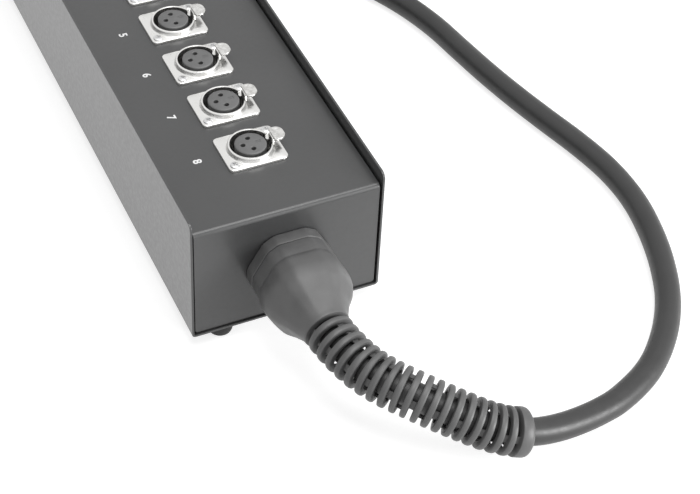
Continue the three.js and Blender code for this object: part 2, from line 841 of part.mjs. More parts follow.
// Straps round the coil
function strap() {
  const low = innerRadius - cableRadius - fit;
  const high = coilOuterRadius + cableRadius + fit;
  const bottom = lowLayer - cableRadius - fit;
  const top = coilTop + fit;
  const t = strapThickness;
  const corner = cableRadius / 2;
  const outer = roundedRectangle(low - t, bottom - t, high + t, top + t, Array(4).fill(corner + t));
  const inner = roundedRectangle(low, bottom, high, top, Array(4).fill(corner));
  return geometryOf(
    solid(pushedAlongY(outer, strapWidth)).subtract(solid(pushedAlongY(inner, strapWidth + 2 * overrun))),
  );
}
const strapGeometry = strap();
strapDegrees.forEach((degrees, i) => {
  const mesh = add(`coil_strap_${i + 1}`, strapGeometry, strapFabric);
  mesh.position.set(coilX, coilY, 0);
  mesh.rotation.z = degrees * toRadians;
});

// Fan-out boot, drawn along +Z and laid along the fan's way
function fanBoot() {
  const width = fanBootWidth / 2;
  const height = fanBootHeight / 2;
  const shape = roundedRectangle(-width, -height, width, height, Array(4).fill(height * 0.8));
  return pushed(shape, 0, fanBootLength);
}
const fanBootMesh = add("fan_boot", fanBoot(), bootRubber);
fanBootMesh.position.copy(fanBootStart);
const upward = new THREE.Vector3(0, 0, 1);
fanBootMesh.quaternion.setFromRotationMatrix(
  new THREE.Matrix4().makeBasis(upward.clone().cross(fanWay), upward, fanWay),
);

// One plug, along +Z from its cable end
function fanPlug() {
  const total = plugBootLength + plugShellLength;
  const body = solid(
    turned(
      [
        [0, 0],
        [tailDiameter / 2 + 2 * fit, 0],
        [plugBootRadius, plugBootLength * 0.8],
        [plugBootRadius, plugBootLength],
        [plugRadius, plugBootLength],
        [plugRadius, total],
        [plugCavityRadius, total],
        [plugCavityRadius, total - plugCavityDepth],
        [0, total - plugCavityDepth],
      ],
      10,
    ),
  );
  const floor = total - plugCavityDepth;
  return geometryOf(
    contactPlaces().reduce(
      (plug, [x, y]) => plug.add(post(plugPinRadius, floor - plugPinRadius, floor + plugPinLength, 4, x, y)),
      body,
    ),
  );
}
const plugGeometry = fanPlug();
const plugWay = alongCoil(plugDegrees);
const plugTurn = new THREE.Matrix4().makeBasis(upward.clone().cross(plugWay), upward, plugWay);

// The middle line of the tails leaves the boot a little outward, and settles on the ring at an even rate
const bootSlope = fanBootLength / 2 / fanRadius;
const bootEndRadius = Math.hypot(fanRadius, fanBootLength / 2);
const tailsFrom = fanBootDegrees - Math.atan(bootSlope) / toRadians;

function fanPoint(degrees) {
  const share = Math.min((tailsFrom - degrees) / fanReturnDegrees, 1);
  const left = (1 - share) ** 2;
  const excess = (bootEndRadius - fanRadius) * left * (1 + 2 * share);
  const outward = bootEndRadius * bootSlope * fanReturnDegrees * toRadians * share * left;
  return roundCoil(degrees, fanRadius + excess + outward, fanBootZ);
}

// A tail leaves the boot and meets its plug square to them, a small gap away
function squareEnds(points, wayOut, wayIn) {
  const from = (point, way, distance) => point.clone().addScaledVector(way, distance);
  const [start, end] = [points[0], points[points.length - 1]];
  const middle = points.slice(1, -1);
  const first = [from(start, wayOut, fit), from(start, wayOut, tailDiameter)];
  return [...first, ...middle, from(end, wayIn, -tailDiameter), from(end, wayIn, -fit)];
}

// Tails spread from the boot to the plugs in columns across the coil's ring and rows above each other
for (let i = 0; i < socketCount; i++) {
  const column = (i % tailColumns) - (tailColumns - 1) / 2;
  const row = Math.floor(i / tailColumns);
  const startZ = fanBootZ + (row - (tailRows - 1) / 2) * tailPitch;
  const restZ = topLevel + tailDiameter / 2 + row * tailPitch;
  const plugZ = topLevel + plugRadius + row * plugPitch;
  const points = [];
  for (let k = 0; k <= tailSteps; k++) {
    const share = k / tailSteps;
    const degrees = tailsFrom + (plugDegrees - tailsFrom) * share;
    const ahead = fanPoint(degrees - 1 / 2).sub(fanPoint(degrees + 1 / 2)).normalize();
    const spread = smooth((share - 0.5) / 0.42);
    const across = column * (tailPitch + (plugPitch - tailPitch) * spread);
    const point = fanPoint(degrees).addScaledVector(upward.clone().cross(ahead), across);
    const settled = smooth((share - 0.06) / 0.25);
    points.push(point.setZ(startZ + (restZ - startZ) * settled + (plugZ - restZ) * spread));
  }
  const tail = tubeThrough(squareEnds(points, fanWay, plugWay), tailDiameter / 2, 8);
  add(`fan_tail_${i + 1}`, tail, tailJacket);
  const plug = add(`fan_plug_${i + 1}`, plugGeometry, nickel);
  plug.position.copy(roundCoil(plugDegrees, fanRadius + column * plugPitch, plugZ));
  plug.quaternion.setFromRotationMatrix(plugTurn);
}

// Wiring from the cable's end to the sockets, as one loom
function wiringLoom() {
  const trunkZ = underside + trunkHeight;
  const trunkStart = inletEnd + fit;
  const farSocket = socketY(1);
  const trunkPoints = [
    [cableLineX, trunkStart, glandZ],
    [cableLineX, trunkStart + inletLength, glandZ],
    [cableLineX, trunkStart + 3 * inletLength, (glandZ + trunkZ) / 2],
    [socketLineX, trunkStart + 5 * inletLength, trunkZ],
    [socketLineX, (trunkStart + farSocket) / 2, trunkZ],
    [socketLineX, farSocket, trunkZ],
  ].map(([x, y, z]) => new THREE.Vector3(x, y, z));
  const trunkCurve = new THREE.CatmullRomCurve3(trunkPoints, false, "centripetal");
  let loom = solid(tubeAlong(trunkCurve, trunkRadius, 14, 8));
  const leadTop = panelTop + insertBase - leadGap;
  const samples = trunkCurve.getPoints(200);
  for (let i = 1; i <= socketCount; i++) {
    const y = Math.min(socketY(i), farSocket - leadRadius);
    const root = samples.reduce((best, p) => (Math.abs(p.y - y) < Math.abs(best.y - y) ? p : best));
    loom = loom.add(post(leadRadius, root.z, leadTop, 6, socketLineX, y));
  }
  return geometryOf(loom);
}
add("wiring_loom", wiringLoom(), wireJacket);

export default snake;
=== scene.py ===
# %% [markdown]
# # A stage box snake, piece by piece
#
# A stage box snake carries many microphone lines over one cable. Here a long box of
# folded steel holds a row of eight sockets, a thick multicore leaves its end through a
# gland and a ribbed bend relief, and the far end of the cable fans out into eight plugs.
#
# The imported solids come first. They fix every size and place, so each piece below is
# drawn where its solid already is, and only adds the detail that a plain solid lacks.

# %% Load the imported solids
import math

import bmesh
import bpy
from mathutils import Matrix, Quaternion, Vector


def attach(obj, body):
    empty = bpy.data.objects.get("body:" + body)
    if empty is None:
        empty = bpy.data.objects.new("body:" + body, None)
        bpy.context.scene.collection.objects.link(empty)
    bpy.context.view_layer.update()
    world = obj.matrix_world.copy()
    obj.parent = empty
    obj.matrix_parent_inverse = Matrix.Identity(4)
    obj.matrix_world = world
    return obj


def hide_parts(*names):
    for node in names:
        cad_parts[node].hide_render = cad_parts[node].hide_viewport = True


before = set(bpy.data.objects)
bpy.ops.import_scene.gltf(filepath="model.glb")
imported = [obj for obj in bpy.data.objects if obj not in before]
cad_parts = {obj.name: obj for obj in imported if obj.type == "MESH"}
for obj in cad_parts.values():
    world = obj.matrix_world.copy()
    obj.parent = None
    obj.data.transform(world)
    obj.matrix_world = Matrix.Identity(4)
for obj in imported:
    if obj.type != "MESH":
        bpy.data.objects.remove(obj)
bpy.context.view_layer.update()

# %% [markdown]
# ## One unit for all sizes
#
# A maker reads a drawing in millimetres, and Blender works in metres. Every piece is
# drawn in millimetres and made smaller by a thousand when it is finished. The few sizes
# below are the ones that many pieces share.

# %% Shared sizes in millimetres
mm = 0.001
box_length, box_width = 356, 101
underside, panel_top, wall_top = 8, 76, 83
sheet = 1.2
end_face = box_length / 2 - 1
cable_x, gland_z = 0.5, 41.3
cable_radius = 6.75
cable_width = 2 * cable_radius
socket_x, socket_pitch, last_socket_y = -0.4, 35.886, -130.1
socket_lines = {number: socket_pitch * (8 - number) + last_socket_y for number in range(1, 9)}
body = "box_and_cable"
print("sockets along the box:", socket_lines)

# %% [markdown]
# ## The camera
#
# The photograph looks down on the cable end of the box from its left. A long lens keeps
# the box's edges nearly parallel. The camera is aimed at a point beside the bend relief
# and then rolled a little, because the photograph is not quite level.

# %% Place the camera


def new_object(name, data):
    thing = bpy.data.objects.new(name, data)
    bpy.context.scene.collection.objects.link(thing)
    return thing


lens = bpy.data.cameras.new("camera")
lens.sensor_width, lens.lens = 36, 99.409
lens.clip_start, lens.clip_end = 0.05, 20
camera = new_object("camera", lens)
camera.location = Vector((-275.843, -794.167, 704.947)) * mm
aim = Vector((17.706, -209.304, 74)) * mm
level_view = (aim - camera.location).to_track_quat("-Z", "Y")
camera.rotation_mode = "QUATERNION"
camera.rotation_quaternion = level_view @ Quaternion((0, 0, 1), math.radians(3.275))
bpy.context.scene.camera = camera
print("distance to the box:", round((aim - camera.location).length, 3), "m")

# %% [markdown]
# ## The line of the cable
#
# The multicore leaves the gland straight, sinks to the floor under its own weight, lies
# in the long loop of the photograph and is then put away in a flat coil behind the view.
# The loop is a list of given points. A centripetal spline goes through them,
# because it neither overshoots nor makes kinks where points lie at uneven distances.

# %% Points of the loop
loop_points = [
    (0.5, -163, 41.3), (0.5, -183.8, 41.3), (0.5, -194, 41.3), (-0.3, -215.7, 41.2), (0.4, -228.7, 40.2),
    (3.2, -240.9, 38.8), (7.8, -252.6, 37.1), (14.6, -263, 35.3), (23.2, -272.5, 33.2), (32.3, -280.8, 30.1),
    (42.1, -288.2, 26.2), (52.2, -294.4, 21.8), (63, -298.7, 17.8), (74.8, -300.7, 14.5), (87.4, -300.7, 11.8),
    (100.4, -299.3, 9.8), (113.6, -296.7, 8.2), (126.4, -293, 7.2), (149.4, -281.5, 6.75), (168.4, -264.5, 6.75),
    (183.5, -243.8, 6.75), (194.3, -220.5, 6.75), (201.8, -195.8, 6.75), (206, -170.5, 6.75),
    (205.5, -145.1, 6.75), (200.7, -120, 6.75), (193.9, -95.2, 6.75), (187.4, -70.3, 6.75),
    (181.9, -45.2, 6.75), (177.4, -20, 6.75), (173, 5.4, 6.75), (166.1, 29.4, 6.75), (155.9, 52.3, 7),
    (142.7, 73.5, 7.6),
]

coil_x, coil_y = 180, 190
turn_pitch, coil_outer, turns = 14.1, 108, 3.75
coil_inner = coil_outer - turns * turn_pitch
low_layer = 8.15
high_layer = low_layer + turn_pitch
entry_degrees, top_degrees = 225, 45


def round_coil(degrees, radius, z):
    """A point at an angle and a radius from the coil's axis."""
    angle = math.radians(degrees)
    return Vector((coil_x + radius * math.cos(angle), coil_y + radius * math.sin(angle), z))


def along_coil(degrees):
    """The way the cable runs there. The coil is wound clockwise seen from above."""
    angle = math.radians(degrees)
    return Vector((math.sin(angle), -math.cos(angle), 0))


def smooth(share):
    share = min(max(share, 0), 1)
    return share * share * (3 - 2 * share)


coil_start = round_coil(entry_degrees, coil_outer, low_layer) - cable_width * along_coil(entry_degrees)
loop_points = [Vector(p) for p in loop_points]
loop_points += [coil_start - 13.8 * along_coil(entry_degrees), coil_start - 0.3 * along_coil(entry_degrees)]
print("points of the loop:", len(loop_points))

# %% A centripetal spline through the points


def spline(points, steps):
    """Points on the centripetal spline, steps of them on each span."""
    ends = [2 * points[0] - points[1], *points, 2 * points[-1] - points[-2]]
    line = []
    for a, b, c, d in zip(ends, ends[1:], ends[2:], ends[3:]):
        ab, bc, cd = ((q - p).length ** 0.5 for p, q in ((a, b), (b, c), (c, d)))
        leave = ((b - a) / ab - (c - a) / (ab + bc) + (c - b) / bc) * bc
        arrive = ((c - b) / bc - (d - b) / (bc + cd) + (d - c) / cd) * bc
        for k in range(steps):
            t = k / steps
            line.append(
                b * (2 * t**3 - 3 * t**2 + 1)
                + leave * (t**3 - 2 * t**2 + t)
                + c * (3 * t**2 - 2 * t**3)
                + arrive * (t**3 - t**2)
            )
    return line + [points[-1]]


def length_of(line):
    return sum((q - p).length for p, q in zip(line, line[1:]))


loop_line = spline(loop_points, 8)
print("loop:", round(length_of(loop_line)), "mm")

# %% [markdown]
# ## The coil and the way up to the fan
#
# Two layers of turns are wound like a clock spring, inwards on the floor and outwards
# again on top. The end then climbs onto the coil and meets the boot in which the cable
# splits. All of it is one formula of the angle, so it stays even at any number of steps.

# %% Points of the coil
steps_per_turn = 60
fan_radius, fan_degrees, fan_z, fan_half = 74, -67, 38.85, 24
fan_way = along_coil(fan_degrees)
fan_middle = round_coil(fan_degrees, fan_radius, fan_z)
fan_start = fan_middle - fan_half * fan_way

coil_line = [coil_start]
for step in range(int(2 * turns * steps_per_turn) + 1):
    turn = step / steps_per_turn
    z = low_layer + turn_pitch * smooth((turn - turns) * 2 + 0.5)
    coil_line.append(round_coil(entry_degrees - 360 * turn, coil_inner + abs(turn - turns) * turn_pitch, z))

climb_end = fan_start - cable_width * fan_way
last_radius = math.hypot(climb_end.x - coil_x, climb_end.y - coil_y)
last_degrees = math.degrees(math.atan2(climb_end.y - coil_y, climb_end.x - coil_x))
step_degrees = 360 / steps_per_turn
degrees = top_degrees - step_degrees
while degrees > last_degrees + step_degrees / 2:
    share = (top_degrees - degrees) / (top_degrees - last_degrees)
    spiral = coil_outer + turn_pitch * (top_degrees - last_degrees) * share / 360
    z = high_layer + (fan_z - high_layer) * smooth(share / 0.78)
    coil_line.append(round_coil(degrees, spiral + (last_radius - spiral) * share**3, z))
    degrees -= step_degrees
coil_line += [climb_end, fan_start + 3 * fan_way]
cable_line = loop_line + coil_line
print("cable:", round(length_of(cable_line)), "mm in", len(cable_line), "points")

# %% [markdown]
# ## A curve with a thickness
#
# Blender gives a curve a round section by its bevel depth, times the radius of each
# point. The depth stays 1 and the points carry the real radius, because Blender widens
# a curve's bounds by the points' radius. The centreline stays in the piece itself.

# %% Make a cord from a line of points


def cord_piece(name, line, radius, sides):
    data = bpy.data.curves.new(name, "CURVE")
    data.dimensions = "3D"
    data.bevel_depth, data.bevel_resolution, data.use_fill_caps = 1, sides, True
    piece = data.splines.new("POLY")
    piece.points.add(len(line) - 1)
    for point, place in zip(piece.points, line):
        point.co, point.radius = (*(place * mm), 1), radius * mm
    piece.use_smooth = True
    cord = new_object(name, data)
    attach(cord, body)
    return cord


multicore = cord_piece("multicore_cable", cable_line, cable_radius, sides=6)
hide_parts("cable_run", "cable_coil")
print("multicore:", cable_width, "mm thick")

# %% [markdown]
# ## Eight tails
#
# Past the boot the cable is eight thin tails. They leave it in two rows of four, settle
# on the coil, follow its ring half way round and spread to where their plugs lie.

# %% Points of the tails
top_level = 30.6
tail_radius, tail_pitch, plug_pitch, plug_radius = 3, 7.2, 19.6, 9.5
slope = fan_half / fan_radius
fan_leave = math.hypot(fan_radius, fan_half)
settle_degrees = 75
tails_from, plug_degrees = fan_degrees - math.degrees(math.atan(slope)), -270
plug_way = along_coil(plug_degrees)


def fan_point(degrees):
    share = min((tails_from - degrees) / settle_degrees, 1)
    left = (1 - share) ** 2
    radius = fan_radius + (fan_leave - fan_radius) * left * (1 + 2 * share)
    radius += fan_leave * slope * math.radians(settle_degrees) * share * left
    return round_coil(degrees, radius, fan_z)


def tail_line(number, steps=36):
    column, row = (number - 1) % 4 - 1.5, (number - 1) // 4
    start_z, rest_z = fan_z + (row - 0.5) * tail_pitch, top_level + tail_radius + row * tail_pitch
    plug_z = top_level + plug_radius + row * plug_pitch
    line = []
    for step in range(steps + 1):
        share = step / steps
        degrees = tails_from + (plug_degrees - tails_from) * share
        ahead = (fan_point(degrees - 0.5) - fan_point(degrees + 0.5)).normalized()
        spread, settled = smooth((share - 0.5) / 0.42), smooth((share - 0.06) / 0.25)
        across = column * (tail_pitch + (plug_pitch - tail_pitch) * spread)
        point = fan_point(degrees) + Vector((0, 0, 1)).cross(ahead) * across
        point.z = start_z + (rest_z - start_z) * settled + (plug_z - rest_z) * spread
        line.append(point)
    first, last = line[0], line[-1]
    return [first - 2 * fan_way, first + 5 * fan_way, *line[2:-2], last - 5 * plug_way, last + 2 * plug_way]


tails = {}
for number in range(1, 9):
    tails[number] = cord_piece(f"tail_{number}", tail_line(number), tail_radius, sides=3)
    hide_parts(f"fan_tail_{number}")
print("first tail:", round(length_of(tail_line(1))), "mm")

# %% [markdown]
# ## Finishes
#
# A finish is a colour with the small unevenness that a real surface has. Each finish
# starts from the same shader. The patterns read Object coordinates, which are metres on
# the object, so a scale of 1000 makes spots of about a millimetre.

# %% Start a finish


def new_finish(name, color, roughness, metallic=0.0):
    material = bpy.data.materials.new(name)
    material.use_nodes = True
    shader = material.node_tree.nodes["Principled BSDF"]
    shader.inputs["Base Color"].default_value = (*color, 1)
    shader.inputs["Roughness"].default_value = roughness
    shader.inputs["Metallic"].default_value = metallic
    return material, shader


def grey(value):
    return (value, value, value)


def node(material, kind):
    return material.node_tree.nodes.new("ShaderNode" + kind)


def link(material, value, socket):
    material.node_tree.links.new(value, socket)


def noise_on(material, scale, detail=3):
    """A noise in metres on the object. Returns its value from 0 to 1."""
    place, noise = node(material, "TexCoord"), node(material, "TexNoise")
    noise.inputs["Scale"].default_value = scale
    noise.inputs["Detail"].default_value = detail
    link(material, place.outputs["Object"], noise.inputs["Vector"])
    return noise.outputs["Fac"]


def ranged(material, value, low, high):
    """Turns the middle of a noise, 0.3 to 0.7, into a range of numbers."""
    span = node(material, "MapRange")
    span.inputs["From Min"].default_value, span.inputs["From Max"].default_value = 0.3, 0.7
    span.inputs["To Min"].default_value, span.inputs["To Max"].default_value = low, high
    link(material, value, span.inputs["Value"])
    return span.outputs["Result"]


def colored(material, value, dark, light):
    """Turns a noise into a colour between two others."""
    ramp = node(material, "ValToRGB")
    ramp.color_ramp.elements[0].position, ramp.color_ramp.elements[1].position = 0.3, 0.7
    ramp.color_ramp.elements[0].color, ramp.color_ramp.elements[1].color = (*dark, 1), (*light, 1)
    link(material, value, ramp.inputs["Fac"])
    return ramp.outputs["Color"]


def roughen(material, shader, value, strength, height):
    """Raises the surface by a noise: height is in millimetres."""
    bump = node(material, "Bump")
    bump.inputs["Strength"].default_value = strength
    bump.inputs["Distance"].default_value = height * mm
    link(material, value, bump.inputs["Height"])
    link(material, bump.outputs["Normal"], shader.inputs["Normal"])


# %% [markdown]
# ### Powder coat
#
# The steel is coated with a powder that melts in an oven and sets with fine dimples.
# The colour itself is nearly black: what makes the panels grey is the blurred picture of
# the white room that lies on them, weak on the top and strong on a side that is seen at
# a flat angle. A clear coat over the base shader gives that second reflection. A slow
# noise shades the colour, a fast one makes the dimples.

# %% Powder coat on the box
powder, powder_shader = new_finish("powder_coat", grey(0.02), 0.45)
powder_shader.inputs["Coat Weight"].default_value = 0.62
powder_shader.inputs["Coat Roughness"].default_value = 0.22
link(powder, colored(powder, noise_on(powder, 14), (0.033, 0.0335, 0.034), (0.041, 0.0415, 0.042)),
     powder_shader.inputs["Base Color"])
link(powder, ranged(powder, noise_on(powder, 420), 0.4, 0.5), powder_shader.inputs["Roughness"])
roughen(powder, powder_shader, noise_on(powder, 850), 0.2, 0.08)

# %% [markdown]
# ### Metals
#
# The socket frames are cast and plated in satin nickel, the screws are zinc-plated
# steel. On metal the colour is the reflection itself, so it is light, and the noise goes
# into roughness and a very shallow unevenness left by casting. The push tabs wear a
# darker, spotted copy of the nickel: painted shade for the darker look of their dished pads.

# %% Nickel, zinc and gold


def metal(name, color, low, high, scale):
    """A plated metal whose roughness goes from low to high with a noise of this scale."""
    material, shader = new_finish(name, color, (low + high) / 2, 1.0)
    link(material, ranged(material, noise_on(material, scale), low, high), shader.inputs["Roughness"])
    return material, shader


nickel, nickel_shader = metal("satin_nickel", (0.76, 0.755, 0.74), 0.25, 0.34, 260)
roughen(nickel, nickel_shader, noise_on(nickel, 240, 2), 0.12, 0.05)

# painted shade: a darker copy of the satin nickel for the darker look of the dished pads; its spots are random tone
shaded_tab_nickel, shaded_tab_shader = metal("shaded_tab_nickel", (0.66, 0.655, 0.64), 0.22, 0.36, 900)
link(shaded_tab_nickel, colored(shaded_tab_nickel, noise_on(shaded_tab_nickel, 620, 4), (0.52, 0.515, 0.5), (0.76, 0.755, 0.74)),
     shaded_tab_shader.inputs["Base Color"])
roughen(shaded_tab_nickel, shaded_tab_shader, noise_on(shaded_tab_nickel, 520, 3), 0.35, 0.12)

shell_nickel, shell_shader = metal("plug_nickel", (0.72, 0.71, 0.69), 0.24, 0.36, 500)
roughen(shell_nickel, shell_shader, noise_on(shell_nickel, 900), 0.2, 0.04)

zinc, zinc_shader = new_finish("zinc_steel", (0.66, 0.66, 0.67), 0.34, 1.0)
link(zinc, colored(zinc, noise_on(zinc, 900), (0.56, 0.56, 0.57), (0.74, 0.74, 0.73)),
     zinc_shader.inputs["Base Color"])
roughen(zinc, zinc_shader, noise_on(zinc, 1500), 0.25, 0.05)

pin_gold, _ = metal("pin_plating", (0.75, 0.6, 0.33), 0.16, 0.3, 1200)

# %% Rubber, jackets and moulded plastic


def moulded(name, low, high, roughness, grain, height, strength=0.4):
    """A moulded finish: colour from low to high, roughness within a tenth, grain per metre."""
    material, shader = new_finish(name, grey((low + high) / 2), roughness)
    shade = noise_on(material, grain / 12)
    link(material, colored(material, shade, grey(low), grey(high)), shader.inputs["Base Color"])
    link(material, ranged(material, noise_on(material, grain / 3), roughness - 0.05, roughness + 0.05),
         shader.inputs["Roughness"])
    roughen(material, shader, noise_on(material, grain), strength, height)
    return material


boot_rubber = moulded("boot_rubber", 0.086, 0.114, 0.46, 1100, 0.08)
gland_plastic = moulded("gland_plastic", 0.078, 0.1, 0.46, 1400, 0.1)
jacket = moulded("cable_jacket", 0.027, 0.033, 0.42, 900, 0.06)
tail_jacket = moulded("tail_jacket", 0.03, 0.042, 0.45, 1500, 0.05)
foot_rubber = moulded("foot_rubber", 0.014, 0.022, 0.7, 1600, 0.1)
socket_plastic = moulded("socket_plastic", 0.13, 0.15, 0.5, 1800, 0.04)
plug_plastic = moulded("plug_plastic", 0.02, 0.028, 0.45, 1500, 0.04)
wire_red = moulded("wire_jacket", 0.2, 0.26, 0.45, 1200, 0.04)
multicore.data.materials.append(jacket)
for tail in tails.values():
    tail.data.materials.append(tail_jacket)

# %% [markdown]
# ### Printed numbers and woven tape
#
# The numbers are white screen ink, a little thicker in some places than in others. The
# tape of the coil's straps is hook-and-loop: its outer side is a felt of fine loops, so
# it is dull, fuzzy and lighter at grazing angles.

# %% Ink and tape
ink = moulded("white_ink", 0.84, 0.9, 0.5, 2400, 0.02, 0.2)
tape, tape_shader = new_finish("strap_tape", grey(0.025), 0.95)
tape_shader.inputs["Sheen Weight"].default_value = 0.35
link(tape, colored(tape, noise_on(tape, 1300, 6), grey(0.012), grey(0.04)), tape_shader.inputs["Base Color"])
roughen(tape, tape_shader, noise_on(tape, 2600, 5), 0.8, 0.4)
print("finishes:", len(bpy.data.materials))

# %% [markdown]
# ## From a shape to a finished piece
#
# Shapes are modelled in a bmesh, in millimetres. To finish one, it is moved to its
# place, made metres, shaded smooth except over sharp edges, and told which body it
# rides on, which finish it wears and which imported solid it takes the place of. The same
# shape can be placed many times. On folded sheet, a Weighted Normal modifier lets the
# large faces decide the shading beside a narrow fold, so that they look flat.

# %% Finish a piece


def place_piece(shape, name, finish, solid=None, place=Matrix(), rides=body, sharp=32, flat=False):
    mesh = bpy.data.meshes.new(name)
    shape.to_mesh(mesh)
    mesh.transform(Matrix.Scale(mm, 4) @ place)
    mesh.polygons.foreach_set("use_smooth", [True] * len(mesh.polygons))
    mesh.set_sharp_from_angle(angle=math.radians(sharp))
    mesh.materials.append(finish)
    piece = new_object(name, mesh)
    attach(piece, rides)
    if solid:
        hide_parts(solid)
    if flat:
        piece.modifiers.new("flat_faces", "WEIGHTED_NORMAL").keep_sharp = True
    return piece


def moved(x, y, z):
    return Matrix.Translation((x, y, z))


# %% [markdown]
# ## The base: a folded channel
#
# The base is one sheet folded up along both long sides. It starts as a box without its
# top and ends. The two long folds are bevelled round, the free corners of the walls are
# rounded by a bevel of their vertices, and then the skin gets its thickness inwards.

# %% Fold a sheet from a block


def folded_block(width, length, low, high):
    """A block as wide and long as the sheet's outside, centred on the box."""
    shape = bmesh.new()
    bmesh.ops.create_cube(shape, size=1)
    bmesh.ops.scale(shape, vec=(width, length, high - low), verts=shape.verts)
    bmesh.ops.translate(shape, vec=(0, 0, (low + high) / 2), verts=shape.verts)
    return shape


def faces_facing(shape, *ways):
    return [f for f in shape.faces if any(f.normal.dot(Vector(way)) > 0.9 for way in ways)]


def rounded(shape, edges, radius, segments=6):
    bmesh.ops.bevel(shape, geom=edges, offset=radius, offset_type="OFFSET", segments=segments,
                    profile=0.5, affect="EDGES", material=-1)


def opened(shape, *ways):
    """Takes away the sides that face these ways, with the edges between them. Returns the folds that are left."""
    bmesh.ops.delete(shape, geom=faces_facing(shape, *ways), context="FACES_ONLY")
    bmesh.ops.delete(shape, geom=[e for e in shape.edges if not e.link_faces], context="EDGES")
    return [e for e in shape.edges if len(e.link_faces) == 2]


def round_corners(shape, corners, radius):
    bmesh.ops.bevel(shape, geom=corners, offset=radius, segments=6, profile=0.5, affect="VERTICES", material=-1)


base = folded_block(box_width, box_length, underside, wall_top)
rounded(base, opened(base, (0, 0, 1), (0, 1, 0), (0, -1, 0)), 2)
round_corners(base, [v for v in base.verts if v.co.z > wall_top - 1], 3.5)
print("base sheet faces:", len(base.faces))

# %% Give the sheet its thickness


def thickened(shape, thickness):
    """The sheet goes inwards from the outer skin, then its cut edges are broken a little."""
    bmesh.ops.recalc_face_normals(shape, faces=shape.faces)
    bmesh.ops.solidify(shape, geom=shape.faces[:], thickness=thickness)
    bmesh.ops.recalc_face_normals(shape, faces=shape.faces)
    cut = [e for e in shape.edges if len(e.link_faces) == 2 and e.calc_face_angle() > math.radians(60)]
    bmesh.ops.bevel(shape, geom=cut, offset=0.18, segments=2, profile=0.5, affect="EDGES", material=-1)
    return shape


thickened(base, sheet)
print("base reaches", [round(max(v.co[i] for v in base.verts), 2) for i in range(3)])

# %% [markdown]
# ## Cutting holes
#
# Holes are cut with a Boolean: one shape is taken away from another, exactly. The two
# helper objects exist only for the cut.

# %% A Boolean between two shapes


def carved(shape, tool, way="DIFFERENCE"):
    things = []
    for source in (shape, tool):
        mesh = bpy.data.meshes.new("carving")
        source.to_mesh(mesh)
        things.append(new_object("carving", mesh))
    cut = things[0].modifiers.new("cut", "BOOLEAN")
    cut.operation, cut.solver, cut.object = way, "EXACT", things[1]
    result = bmesh.new()
    evaluated = things[0].evaluated_get(bpy.context.evaluated_depsgraph_get())
    result.from_mesh(evaluated.to_mesh())
    for thing in things:
        bpy.data.objects.remove(thing)
    return result


def rod(radius, low, high, sides=32, place=Matrix()):
    shape = bmesh.new()
    bmesh.ops.create_cone(shape, cap_ends=True, segments=sides, radius1=radius, radius2=radius, depth=high - low)
    bmesh.ops.transform(shape, matrix=place @ moved(0, 0, (low + high) / 2), verts=shape.verts)
    return shape


def block(low, high, place=Matrix()):
    shape = bmesh.new()
    bmesh.ops.create_cube(shape, size=1)
    low, high = Vector(low), Vector(high)
    middle, size = moved(*(low + high) / 2), Matrix.Diagonal((*(high - low), 1))
    bmesh.ops.transform(shape, matrix=place @ middle @ size, verts=shape.verts)
    return shape


def together(*shapes):
    """Several closed shapes in one bmesh."""
    whole = bmesh.new()
    for shape in shapes:
        mesh = bpy.data.meshes.new("joining")
        shape.to_mesh(mesh)
        whole.from_mesh(mesh)
        bpy.data.meshes.remove(mesh)
    return whole


screw_hole, barrel_hole = 1.8, 12.3
screw_places = [(18 * x, (end_face - 7.6) * y) for y in (-1, 1) for x in (-1, 1)]
foot_places = [((box_width / 2 - 17.7) * x, (box_length / 2 - 8) * y) for y in (-1, 1) for x in (-1, 1)]
base = carved(base, together(*(rod(screw_hole, 0, 12, place=moved(x, y, 0)) for x, y in screw_places)))
place_piece(base, "base_channel", powder, "base_chassis", flat=True)
print("base with its holes:", len(base.faces), "faces")

# %% [markdown]
# ## The cover
#
# The cover is a second sheet: the top panel with both end panels folded down, 0.8 mm
# clear of the walls. A flange is folded in under each end and takes the screws. The
# sockets, the gland and the screws get their holes.

# %% Fold the cover
flange_half, flange_depth, wall_gap = 32, 14, 0.8
cover_width = box_width - 2 * (sheet + wall_gap)
cover_low = underside + sheet + 0.5
cover = folded_block(cover_width, 2 * end_face, cover_low, panel_top)
rounded(cover, opened(cover, (0, 0, -1), (1, 0, 0), (-1, 0, 0)), 2.6, 10)
for x in (-flange_half, flange_half):
    bmesh.ops.bisect_plane(cover, geom=cover.verts[:] + cover.edges[:] + cover.faces[:], plane_co=(x, 0, 0),
                           plane_no=(1, 0, 0), dist=1e-4)
round_corners(cover, [v for v in cover.verts if v.co.z < cover_low + 1 and abs(v.co.x) > 40], 1.8)
for end in (-1, 1):
    lip = [e for e in cover.edges if all(
        abs(v.co.z - cover_low) < 0.01 and v.co.y * end > 0 and abs(v.co.x) < flange_half + 0.1 for v in e.verts)]
    grown = bmesh.ops.extrude_edge_only(cover, edges=lip)["geom"]
    bmesh.ops.translate(cover, vec=(0, -flange_depth * end, 0),
                        verts=[g for g in grown if isinstance(g, bmesh.types.BMVert)])
thickened(cover, sheet)
print("cover faces:", len(cover.faces))

# %% Cut the cover's holes
holes = [rod(barrel_hole, 60, 90, 64, moved(socket_x, y, 0)) for y in socket_lines.values()]
gland_way = moved(cable_x, -end_face, gland_z) @ Matrix.Rotation(math.pi / 2, 4, "X")
holes.append(rod(barrel_hole, -10, 10, 64, gland_way))
holes += [rod(screw_hole, 8.5, 14, place=moved(x, y, 0)) for x, y in screw_places]
cover = carved(cover, together(*holes))
place_piece(cover, "top_cover_sheet", powder, "top_cover", flat=True)
print("cover with its", len(holes), "holes:", len(cover.faces), "faces")

# %% [markdown]
# ## Turned pieces
#
# Anything round, such as a foot or a plug's shell, starts as a half outline of radius
# and height that is spun once round the Z axis. The last step is merged with the first,
# and points on the axis become one pole.

# %% Spin an outline


